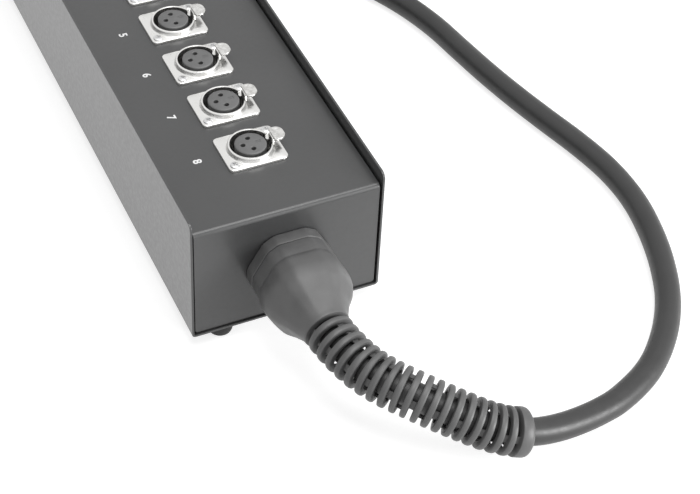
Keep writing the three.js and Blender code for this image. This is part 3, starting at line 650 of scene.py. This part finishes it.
def turned(outline, steps=48, closed=False):
    shape = bmesh.new()
    verts = [shape.verts.new((radius, 0, z)) for radius, z in outline]
    pairs = list(zip(verts, verts[1:])) + ([(verts[-1], verts[0])] if closed else [])
    edges = [shape.edges.new(pair) for pair in pairs]
    bmesh.ops.spin(shape, geom=verts + edges, cent=(0, 0, 0), axis=(0, 0, 1), angle=math.tau, steps=steps,
                   use_merge=True)
    bmesh.ops.remove_doubles(shape, verts=shape.verts, dist=1e-4)
    bmesh.ops.recalc_face_normals(shape, faces=shape.faces)
    return shape


foot = turned([(0, 2.6), (2.9, 2.6), (3.1, 2.3), (3.1, 0.4), (3.4, 0), (4.3, 0), (5.2, 0.3), (5.9, 1.1), (6.35, 2.2),
               (6.6, 3.6), (6.8, 5.2), (6.8, 7.5), (6.5, 7.9), (0, 7.9)])
for number, (x, y) in enumerate(foot_places, 1):
    place_piece(foot, f"rubber_foot_{number}", foot_rubber, f"foot_{number}", moved(x, y, 0))
print("foot faces:", len(foot.faces))

# %% [markdown]
# ## Screws
#
# A pan head is a shallow dome with a cross recess. The head and its shank are one turned
# piece, and two thin blocks with a small cone between them cut the recess.

# %% Screws under the box and in the feet


def pan_screw(radius, height, shank, reach):
    """The head stands up from z = 0, and the shank goes down."""
    shape = turned([
        (0, height), (0.35 * radius, height * 0.98), (0.7 * radius, height * 0.86), (0.92 * radius, height * 0.6),
        (radius, height * 0.25), (radius, 0), (shank, 0), (shank, -reach + 0.5), (shank - 0.4, -reach), (0, -reach),
    ], 32)
    arm, thick = 0.52 * radius, 0.16 * radius
    for turn in (0, math.pi / 2):
        low, high = (-arm, -thick, 0.35 * height), (arm, thick, 2 * height)
        shape = carved(shape, block(low, high, Matrix.Rotation(turn, 4, "Z")))
    return shape


base_screw = pan_screw(2.8, 1.9, 1.5, 5.7)
foot_screw = pan_screw(2.7, 1.2, 1.3, 4)
upside_down = Matrix.Rotation(math.pi, 4, "X")
for number, (x, y) in enumerate(screw_places, 1):
    place_piece(base_screw, f"base_screw_{number}", zinc, f"cover_screw_{number}",
                moved(x, y, underside - 0.1) @ upside_down)
for number, (x, y) in enumerate(foot_places, 1):
    place_piece(foot_screw, f"foot_screw_{number}", zinc, place=moved(x, y, 2.6) @ upside_down)
print("screws under the box:", len(screw_places) + len(foot_places))

# %% [markdown]
# ## Rings pulled into shapes
#
# The socket's frame is a rectangular plate that turns into a round ring. It is pulled
# from one edge loop: each extrusion adds a loop, which is then moved to its own outline.
# An outline is a radius for each angle, so a rectangle, a hexagon and a circle can
# follow each other with the same number of points.

# %% Outlines by angle, and a loft of extruded loops


def circle(radius):
    return lambda angle: radius


def boxy(half_x, half_y, corner, back_corner=None):
    """A rectangle with rounded corners. The corners at -X can have their own radius."""

    def radius_at(angle):
        way = Vector((abs(math.cos(angle)), abs(math.sin(angle))))
        r = corner if math.cos(angle) > 0 or back_corner is None else back_corner
        reach = min(half_x / max(way.x, 1e-9), half_y / max(way.y, 1e-9))
        centre = Vector((half_x - r, half_y - r))
        hit = way * reach
        if hit.x > centre.x and hit.y > centre.y:
            ahead = way.dot(centre)
            reach = ahead + math.sqrt(max(ahead**2 - centre.length_squared + r * r, 0))
        return reach

    return radius_at


def set_ring(verts, outline, z):
    for v in verts:
        angle = math.atan2(v.co.y, v.co.x)
        v.co = Vector((math.cos(angle) * outline(angle), math.sin(angle) * outline(angle), z))


def lofted(rings, sides=96, closed=False):
    """rings: (outline, z) pairs. The loops are extruded from each other, and the two ends are filled or joined."""
    shape = bmesh.new()
    start = bmesh.ops.create_circle(shape, cap_ends=False, segments=sides, radius=1)["verts"]
    first = loop = list(shape.edges)
    set_ring(start, *rings[0])
    for outline, z in rings[1:]:
        grown = bmesh.ops.extrude_edge_only(shape, edges=loop)["geom"]
        verts = {g for g in grown if isinstance(g, bmesh.types.BMVert)}
        loop = [e for e in shape.edges if e.verts[0] in verts and e.verts[1] in verts]
        set_ring(verts, outline, z)
    if closed:
        bmesh.ops.bridge_loops(shape, edges=first + loop)
    else:
        for edge_loop in (first, loop):
            bmesh.ops.edgeloop_fill(shape, edges=edge_loop)
    bmesh.ops.recalc_face_normals(shape, faces=shape.faces)
    return shape


# %% [markdown]
# ## The socket's frame
#
# The flange is the standard 26 by 31 mm. A ring with sloping sides stands on it, and a
# barrel goes down through the panel. The ring is cut away on one side for the push tab,
# and the tab's leaf spring has a slot in the barrel. Everything that belongs to a socket
# is modelled once and placed eight times.

# %% Model and place the socket frames


def at_sockets(shape, name, finish, solid, rides=None):
    for number, y in socket_lines.items():
        place_piece(shape, f"{name}_{number}", finish, f"{solid}_{number}", moved(socket_x, y, panel_top),
                    f"{rides}_{number}" if rides else body)
    print(name, "faces:", len(shape.faces))


def plate(inset):
    return boxy(15.5 - inset, 13 - inset, 2.5 - inset)


frame_rings = [
    (plate(0), 0.1), (plate(0), 1.1), (plate(0.1), 1.35), (plate(0.35), 1.5),
    *((circle(radius), z) for radius, z in (
        (12.45, 1.5), (12.2, 1.62), (11.95, 2), (11.6, 3.6), (11.4, 4.1), (11.15, 4.3), (10.6, 4.3), (10.4, 4.12),
        (10.4, -18.3), (8.8, -18.3), (8.8, -21), (11.7, -21), (11.7, 0.1))),
]
socket_frame = lofted(frame_rings, 128, closed=True)
window, leaf_slot = block((9.6, -5.7, 1.5), (13.4, 5.7, 6)), block((0, -2.8, -9.5), (12, 2.8, 6))
for opening in (window, leaf_slot):
    socket_frame = carved(socket_frame, opening)
flange_holes = {"left": (-12, -9.5), "right": (12, 9.5)}
for x, y in flange_holes.values():
    socket_frame = carved(socket_frame, rod(1.6, -1, 3, 24, moved(x, y, 0)))
at_sockets(socket_frame, "socket_frame", nickel, "socket_shell")

# %% [markdown]
# ## The contact block
#
# Three contact holes sit in a grey plastic block whose face has a chamfered rim. A small
# key is let into the face on the side of the tab. The holes get a shallow countersink,
# which leads a pin in.

# %% Model and place the contact blocks
contact_places = [(0, 4.1), (-4.1, 0), (0, -4.1)]
core = turned([(0, 4.5), (7.45, 4.5), (7.6, 4.45), (8, 4), (8, -15.2), (10.1, -15.2), (10.1, -18.2), (0, -18.2)], 64)
for x, y in contact_places:
    core = carved(core, rod(1.3, -14, 8, 24, moved(x, y, 0)))
    lead_in = bmesh.new()
    bmesh.ops.create_cone(lead_in, cap_ends=True, segments=24, radius1=1.25, radius2=1.65, depth=0.4)
    bmesh.ops.translate(lead_in, vec=(x, y, 4.5), verts=lead_in.verts)
    core = carved(core, lead_in)
core = carved(core, block((2.8, -0.7, 4.35), (5.4, 0.9, 5)))
core = carved(core, block((3.1, -0.4, 4.2), (5.1, 0.6, 4.45)), "UNION")
at_sockets(core, "contact_block", socket_plastic, "socket_insert")

# %% [markdown]
# ## The push tab
#
# The tab lets go of the plug's latch. It is a small plate with round outer corners and a
# shallow dish for the fingertip, on a leaf that goes down inside the barrel. It rides on
# its own body, so that it can be pressed.

# %% Model and place the push tabs


def pad(inset):
    return boxy(3.3 - inset, 4.9 - inset, 3.9 - inset, 1.2 - inset * 0.6)


tab_pad = lofted([(pad(inset), z) for inset, z in (
    (0.15, 5.8), (0, 5.95), (0, 6.6), (0.15, 6.88), (0.45, 7), (0.9, 6.97), (1.6, 6.8), (2.2, 6.7))], 72)
bmesh.ops.translate(tab_pad, vec=(14.4, 0, 0), verts=tab_pad.verts)
leaf = block((10.5, -2.5, -8), (11.7, 2.5, 6.2))
rounded(leaf, leaf.edges[:], 0.2, 2)
hook = block((9.6, -1.25, -8), (11.1, 1.25, -6.5))
tab = together(tab_pad, leaf, hook)
at_sockets(tab, "release_tab", shaded_tab_nickel, "push_tab", "latch")

# %% Flange screws
flange_screw = pan_screw(2.45, 1.0, 1.3, 6)
for number, y in socket_lines.items():
    for side, (dx, dy) in flange_holes.items():
        turn = Matrix.Rotation(math.radians(17 * number + 40 * (dx > 0)), 4, "Z")
        place_piece(flange_screw, f"flange_screw_{number}_{side}", zinc,
                    place=moved(socket_x + dx, y + dy, panel_top + 1.5) @ turn)
print("flange screw faces:", len(flange_screw.faces))

# %% [markdown]
# ## The numbers
#
# Each line is numbered beside its socket, with the top of the number towards the
# sockets. Text is a curve in Blender: it is thickened a little for the bold face, given
# a height of a few hundredths, and made a mesh before it is put in place.

# %% Print the numbers


digit_height, cap_share = 4.2, 0.7


def printed(number, place):
    words = bpy.data.curves.new("number", "FONT")
    words.body, words.size = str(number), digit_height / cap_share
    words.align_x, words.align_y = "CENTER", "CENTER"
    words.offset, words.extrude, words.resolution_u = 0.16, 0.03, 8
    source = new_object("number_text", words)
    shape = bmesh.new()
    shape.from_mesh(source.evaluated_get(bpy.context.evaluated_depsgraph_get()).to_mesh())
    bpy.data.objects.remove(source)
    bmesh.ops.remove_doubles(shape, verts=shape.verts, dist=1e-4)
    return place_piece(shape, f"number_{number}", ink, place=place)


for number, y in socket_lines.items():
    printed(number, moved(-28, y + 1.6, panel_top + 0.04) @ Matrix.Rotation(-math.pi / 2, 4, "Z"))
print("numbers:", *socket_lines)

# %% [markdown]
# ## The gland
#
# The cable is clamped by a gland in the end panel. Its hexagonal collar rests on the
# panel. The collar is pulled from a hexagon with softened edges, and the threads that
# nobody sees are plain steps.

# %% Model the gland
corner_cut, edge_sharpness = 0.047, 4


def hexagon(flats):
    """A hexagon with two flats across X, which is up once the piece lies along the cable. Its corners are cut off."""
    reach = flats * (0.5 / math.cos(math.pi / 6) - corner_cut)

    def radius_at(angle):
        sector = math.pi / 3
        from_flat = (angle + sector / 2) % sector - sector / 2
        flat = flats / 2 / math.cos(from_flat)
        corner = reach / math.cos(sector / 2 - abs(from_flat))
        # the smaller of the two, with the edge between them rounded off
        return -math.log(sum(math.exp(-edge_sharpness * r) for r in (flat, corner))) / edge_sharpness

    return radius_at


towards_cable = Matrix(((0, -1, 0, cable_x), (0, 0, -1, -end_face), (1, 0, 0, gland_z), (0, 0, 0, 1)))
gland = lofted([
    (circle(12), -14), (circle(12), 0.1), (hexagon(40.4), 0.1), (hexagon(41.4), 0.5), (hexagon(41.6), 1),
    (hexagon(41.6), 6.2), (hexagon(41.4), 6.6), (hexagon(40.9), 6.8), (circle(15.2), 6.8), (circle(15.2), 14.4),
    (circle(14.8), 14.8), (circle(10), 14.8), (circle(10), 3.4), (circle(7.35), 3.4), (circle(7.35), -14),
], 96, closed=True)
gland_piece = place_piece(gland, "gland_nut", gland_plastic, "gland_body", towards_cable, sharp=28)
print("gland faces:", len(gland.faces))

# %% [markdown]
# ## Bending a straight shape onto the cable
#
# The bend relief is easiest to model straight. Afterwards each of its points is carried
# to the cable's line: its height becomes a distance along the line, and its X and Y
# become the directions square to it, X upwards. That is what a curve modifier does, but
# here the relief and the cable share exactly one line.

# %% A frame at each distance along the cable
line_start = -loop_points[0].y
distances = [0.0]
for p, q in zip(loop_line, loop_line[1:]):
    distances.append(distances[-1] + (q - p).length)


def on_cable(distance):
    """The point of the cable's line at a distance from the middle of the box."""
    s = min(max(distance - line_start, 0), distances[-1])
    k = next((i for i in range(1, len(distances)) if distances[i] >= s), len(distances) - 1)
    share = (s - distances[k - 1]) / (distances[k] - distances[k - 1])
    return loop_line[k - 1].lerp(loop_line[k], share)


def cable_frame(distance):
    point = on_cable(distance)
    ahead = (on_cable(distance + 1.5) - on_cable(distance - 1.5)).normalized()
    up = Vector((0, 0, 1))
    side = (up - ahead * ahead.dot(up)).normalized()
    return point, side, ahead.cross(side), ahead


def bent(shape):
    """Carries a straight shape onto the cable's line. Its z is the distance from the middle of the box."""
    known = {}
    for v in shape.verts:
        key = round(v.co.z, 3)
        if key not in known:
            known[key] = cable_frame(v.co.z)
        point, side, other, ahead = known[key]
        v.co = point + side * v.co.x + other * v.co.y
    return shape


print("cable leaves the bend relief at", [round(c) for c in on_cable(337.5)])

# %% [markdown]
# ## The bell of the bend relief
#
# The rubber boot begins as a hexagon over the gland and swells into a bell whose six
# soft ridges fade towards the neck. Its outline was measured at a few places, so a
# smooth curve is laid through them before the loops are pulled.

# %% Pull the bell
boot_start, bell_start, bell_end = 184, 193, 227
bell_length, boot_flats, neck_radius, bell_radius = bell_end - bell_start, 41.4, 11.2, 22.7
bore, collar_room = 8.4, 15.5
bell_table = [(0, 0.936, 1), (0.067, 0.985, 0.8), (0.17, 1, 0.75), (0.285, 0.985, 0.75), (0.42, 0.885, 0.75),
              (0.535, 0.69, 0.75), (0.64, 0.49, 0.7), (0.725, 0.36, 0.55), (0.815, 0.22, 0.35), (0.88, 0.13, 0.15),
              (0.925, 0.09, 0), (0.947, 0.08, 0)]
neck_end = bell_start + bell_length * bell_table[-1][0]
bell_curve = spline([Vector(row) for row in bell_table], 4)


def bell_ring(fullness, hex_share):
    radius = neck_radius + fullness * (bell_radius - neck_radius)
    corner = hexagon(boot_flats)(math.radians(30))

    def radius_at(angle):
        return radius + hex_share * (radius * hexagon(boot_flats)(angle) / corner - radius)

    return radius_at


boot_rings = [
    (hexagon(40.6), boot_start), (hexagon(41.2), boot_start + 0.25), (hexagon(boot_flats), boot_start + 0.6),
    (hexagon(boot_flats), bell_start - 0.8), (hexagon(41.3), bell_start - 0.3),
]
boot_rings += [(bell_ring(row.y, row.z), bell_start + bell_length * row.x) for row in bell_curve]
boot_rings += [(circle(11.8), neck_end + 0.5), (circle(10.6), neck_end + 0.8), (circle(bore), neck_end + 0.8),
               (circle(bore), boot_start + 8.3), (circle(collar_room), boot_start + 8.3),
               (circle(collar_room), boot_start)]
bell = bent(lofted(boot_rings, 96, closed=True))
print("bell loops:", len(boot_rings))

# %% [markdown]
# ## The ribs of the bend relief
#
# Nineteen flat rings follow the bell, the first few set back a little towards it. Between
# two rings only two short bridges hold them together, and the bridges of the next gap
# stand a quarter turn further, so the relief bends easily every way but not sharply.
# Light shows through the open slots.

# %% Rings, bridges and end collar
rib_count, rib_pitch, rib_width, rib_radius = 19, 5.34, 3, 12
bridge_start = math.radians(70)


def rib(start):
    half = [(bore, 0.3), (bore + 0.3, 0), (rib_radius - 0.9, 0), (rib_radius - 0.315, 0.22),
            (rib_radius - 0.08, 0.65), (rib_radius, 1.1)]
    shape = turned(half + [(radius, rib_width - z) for radius, z in reversed(half)], 48, closed=True)
    bmesh.ops.translate(shape, vec=(0, 0, start), verts=shape.verts)
    return shape


def bridge(start, length, turn):
    """A short arc of rubber across one gap, close to the cable."""
    outer, half_angle = 9.1, math.radians(12)
    shape = bmesh.new()
    verts = [shape.verts.new((radius, 0, z)) for radius, z in (
        (bore + 0.05, start), (outer - 0.3, start), (outer, start),
        (outer, start + length), (outer - 0.3, start + length), (bore + 0.05, start + length))]
    face = shape.faces.new(verts)
    bmesh.ops.rotate(shape, verts=verts, cent=(0, 0, 0), matrix=Matrix.Rotation(turn - half_angle, 3, "Z"))
    bmesh.ops.spin(shape, geom=[face, *face.edges, *verts], cent=(0, 0, 0), axis=(0, 0, 1),
                   angle=2 * half_angle, steps=8)
    bmesh.ops.recalc_face_normals(shape, faces=shape.faces)
    return shape


pieces_of_relief = []
last_end = neck_end + 0.8
for number in range(rib_count):
    early = max(0.0, 1.3 - 0.4 * number)
    start = bell_end + (number + 1) * rib_pitch - rib_width - early
    pieces_of_relief.append(rib(start))
    for half in (0, math.pi):
        turn = half + (math.pi / 2 if number % 2 else 0) + bridge_start
        pieces_of_relief.append(bridge(last_end - 0.2, start - last_end + 0.4, turn))
    last_end = start + rib_width
collar_start = bell_end + (rib_count + 1) * rib_pitch - rib_width
for half in (0, math.pi):
    pieces_of_relief.append(bridge(collar_start - 2.5, 2.65, half + bridge_start))
pieces_of_relief.append(turned([
    (7.2, 0.3), (7.5, 0), (11.3, 0), (11.9, 0.25), (12.1, 0.8), (12.1, 4.2), (11.8, 5.2), (10.9, 6), (9.4, 6.5),
    (7.2, 6.6),
], 48, closed=True))
bmesh.ops.translate(pieces_of_relief[-1], vec=(0, 0, collar_start), verts=pieces_of_relief[-1].verts)
relief = together(bell, *(bent(shape) for shape in pieces_of_relief))
relief_piece = place_piece(relief, "bend_relief", boot_rubber, "cable_boot")
print("bend relief faces:", len(relief.faces))

# %% [markdown]
# ## The straps
#
# Two straps of hook-and-loop tape hold the coil. Each one is a flat band round the
# coil's section, with its free end pressed onto itself on the outside.

# %% Wrap the straps
coil_place = moved(coil_x, coil_y, 0)


def band(low, high, width, radius, thickness):
    shape = block((low[0], -width / 2, low[1]), (high[0], width / 2, high[1]))
    rounded(shape, opened(shape, (0, 1, 0), (0, -1, 0)), radius)
    bmesh.ops.solidify(shape, geom=shape.faces[:], thickness=thickness)
    bmesh.ops.recalc_face_normals(shape, faces=shape.faces)
    return shape


for number, degrees in enumerate((70, 190), 1):
    strap = band((47.075, 0.1), (116.05, 30.3), 14, 4.4, 1)
    flap = block((116, -7, 7), (117, 7, 25))
    rounded(flap, flap.edges[:], 0.3, 2)
    place = coil_place @ Matrix.Rotation(math.radians(degrees), 4, "Z")
    place_piece(
        together(strap, flap), f"tape_strap_{number}", tape, f"coil_strap_{number}", place)

# %% [markdown]
# ## The boot of the fan
#
# Where the multicore splits, a flat moulded boot holds the tails apart. It is pulled
# from rounded rectangles, with shallow grooves round its middle for grip.

# %% Pull the fan's boot
fan_frame = Matrix.Translation(fan_start) @ Matrix((
    (*Vector((0, 0, 1)).cross(fan_way), 0), (0, 0, 1, 0), (*fan_way, 0), (0, 0, 0, 1))).transposed()


def flat_oval(inset):
    return boxy(15 - inset, 8.25 - inset, 6.6 - inset)


fan_rings = [(circle(7.1), 0.4), (circle(7.6), 0), (flat_oval(1.2), 2.2), (flat_oval(0.3), 4), (flat_oval(0), 6)]
for groove in range(5):
    z = 12 + groove * 5
    fan_rings += [(flat_oval(0), z), (flat_oval(0.7), z + 0.6), (flat_oval(0.7), z + 1.6), (flat_oval(0), z + 2.2)]
fan_rings += [(flat_oval(0), 46.4), (flat_oval(0.25), 47.4), (flat_oval(0.9), 48), (flat_oval(4), 48)]
fan_boot_piece = place_piece(
    lofted(fan_rings, 96), "fan_split_boot", boot_rubber, "fan_boot", fan_frame)
print("loops of the fan's boot:", len(fan_rings))

# %% [markdown]
# ## The plugs
#
# Each tail ends in a three-pin plug. A ribbed rubber sleeve grips the tail, a plated
# shell follows, and three pins stand on a plastic disc inside the open front.

# %% Model one plug along +Z
sleeve_outline = [(3.1, 0), (3.7, 0), (4.1, 0.5)]
for ring in range(5):
    z, radius = 2.2 + ring * 2.9, 4.5 + ring * 0.45
    sleeve_outline += [(radius - 0.6, z), (radius, z + 0.35), (radius, z + 1.7), (radius - 0.6, z + 2.05)]
sleeve_outline += [(6.3, 17.6), (6.6, 18.2), (6.6, 22.5), (3.1, 22.5)]
sleeve = turned(sleeve_outline, 40, closed=True)
shell = turned([
    (6.7, 21.6), (8.4, 21.6), (9.1, 22.1), (9.5, 23), (9.5, 25.4), (9.1, 25.8), (9.1, 26.8), (9.5, 27.2), (9.5, 29.6),
    (9.1, 30), (9.1, 31), (9.5, 31.4), (9.5, 47), (9.3, 47.3), (9.3, 48.1), (9.5, 48.4), (9.5, 65.3), (9.2, 65.9),
    (8.3, 66), (8, 65.7), (8, 52), (6.7, 52),
], 56, closed=True)
disc = turned([(0, 53.5), (7.2, 53.5), (7.6, 53.2), (7.95, 52.8), (7.95, 50.5), (0, 50.5)], 40)
pins = [turned([(0, 64.5), (0.5, 64.4), (0.95, 64), (1.2, 63.3), (1.2, 53.4), (0, 53.4)], 20) for _ in contact_places]
for pin, (x, y) in zip(pins, contact_places):
    bmesh.ops.translate(pin, vec=(x, y, 0), verts=pin.verts)

plug_turn = Matrix(((0, 0, 1, 0), (1, 0, 0, 0), (0, 1, 0, 0), (0, 0, 0, 1)))
for number, tail in tails.items():
    column, row = (number - 1) % 4 - 1.5, (number - 1) // 4
    spot = round_coil(plug_degrees, fan_radius + column * plug_pitch, top_level + plug_radius + row * plug_pitch)
    place = Matrix.Translation(spot) @ plug_turn
    parts = [
        place_piece(shell, f"plug_shell_{number}", shell_nickel, f"fan_plug_{number}", place),
        place_piece(sleeve, f"plug_sleeve_{number}", boot_rubber, place=place),
        place_piece(disc, f"plug_disc_{number}", plug_plastic, place=place),
        place_piece(together(*pins), f"plug_pins_{number}", pin_gold, place=place),
    ]
    line = tail_line(number)

# %% [markdown]
# ## Pieces kept from the solids
#
# The gland's seal, its nut inside the box and the wiring loom already have their shape.
# They only get their finish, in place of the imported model's flat colour.

# %% Dress the kept solids
for solid, finish in {"gland_seal": foot_rubber, "gland_locknut": gland_plastic, "wiring_loom": wire_red}.items():
    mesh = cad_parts[solid].data
    mesh.materials.clear()
    mesh.materials.append(finish)
    print("kept:", solid)

# %% [markdown]
# ## Floor and light
#
# The object stands on a pale floor in soft studio light. The world gives an even base,
# one large lamp overhead models the shapes and a smaller one, low at the right, fills in.
# What the camera and reflections see of the floor is lifted to white, while the light it
# gives back to the object is left alone, so that the shadows stay soft but true.

# %% Floor


def seen(material):
    """1 for rays that are seen, straight or in a reflection or glass, and 0 for those that light the object."""
    rays, straight, either = node(material, "LightPath"), node(material, "Math"), node(material, "Math")
    straight.operation = either.operation = "MAXIMUM"
    link(material, rays.outputs["Is Camera Ray"], straight.inputs[0])
    link(material, rays.outputs["Is Glossy Ray"], straight.inputs[1])
    link(material, straight.outputs[0], either.inputs[0])
    link(material, rays.outputs["Is Transmission Ray"], either.inputs[1])
    return either.outputs[0]


floor_shape = bmesh.new()
bmesh.ops.create_grid(floor_shape, x_segments=4, y_segments=4, size=3)
floor_mesh = bpy.data.meshes.new("floor")
floor_shape.to_mesh(floor_mesh)
new_object("floor", floor_mesh)
floor_finish = bpy.data.materials.new("floor")
floor_finish.use_nodes = True
floor_finish.node_tree.nodes.clear()
paint, glow, add, lift, out = (node(floor_finish, kind) for kind in (
    "BsdfDiffuse", "Emission", "AddShader", "Math", "OutputMaterial"))
paint.inputs["Color"].default_value = (*grey(0.55), 1)
lift.operation = "MULTIPLY"
lift.inputs[1].default_value = 0.74
link(floor_finish, seen(floor_finish), lift.inputs[0])
link(floor_finish, lift.outputs[0], glow.inputs["Strength"])
link(floor_finish, paint.outputs[0], add.inputs[0])
link(floor_finish, glow.outputs[0], add.inputs[1])
link(floor_finish, add.outputs[0], out.inputs["Surface"])
floor_mesh.materials.append(floor_finish)
print("floor:", [round(side, 2) for side in floor_mesh.vertices[-1].co])

# %% World and lamps
world = bpy.data.worlds.new("studio")
bpy.context.scene.world = world
world.use_nodes = True
sky, level = world.node_tree.nodes["Background"], node(world, "MapRange")
level.inputs["To Min"].default_value, level.inputs["To Max"].default_value = 0.4, 1.0
link(world, seen(world), level.inputs["Value"])
link(world, level.outputs["Result"], sky.inputs["Strength"])
sky.inputs["Color"].default_value = (*grey(1), 1)


def lamp(name, place, target, size, power):
    light = bpy.data.lights.new(name, "AREA")
    light.shape, light.size, light.energy = "SQUARE", size, power
    thing = new_object(name, light)
    thing.location = place
    thing.rotation_mode = "QUATERNION"
    thing.rotation_quaternion = (Vector(target) - Vector(place)).to_track_quat("-Z", "Y")


lamp("overhead", (0.15, -0.4, 1.5), (0.05, -0.15, 0.05), 1.0, 13)
lamp("fill", (0.95, -1.25, 0.42), (0, -0.1, 0.05), 0.6, 20)
bpy.context.scene.view_settings.view_transform = "Standard"
print("lamps:", [light.name for light in bpy.data.lights])
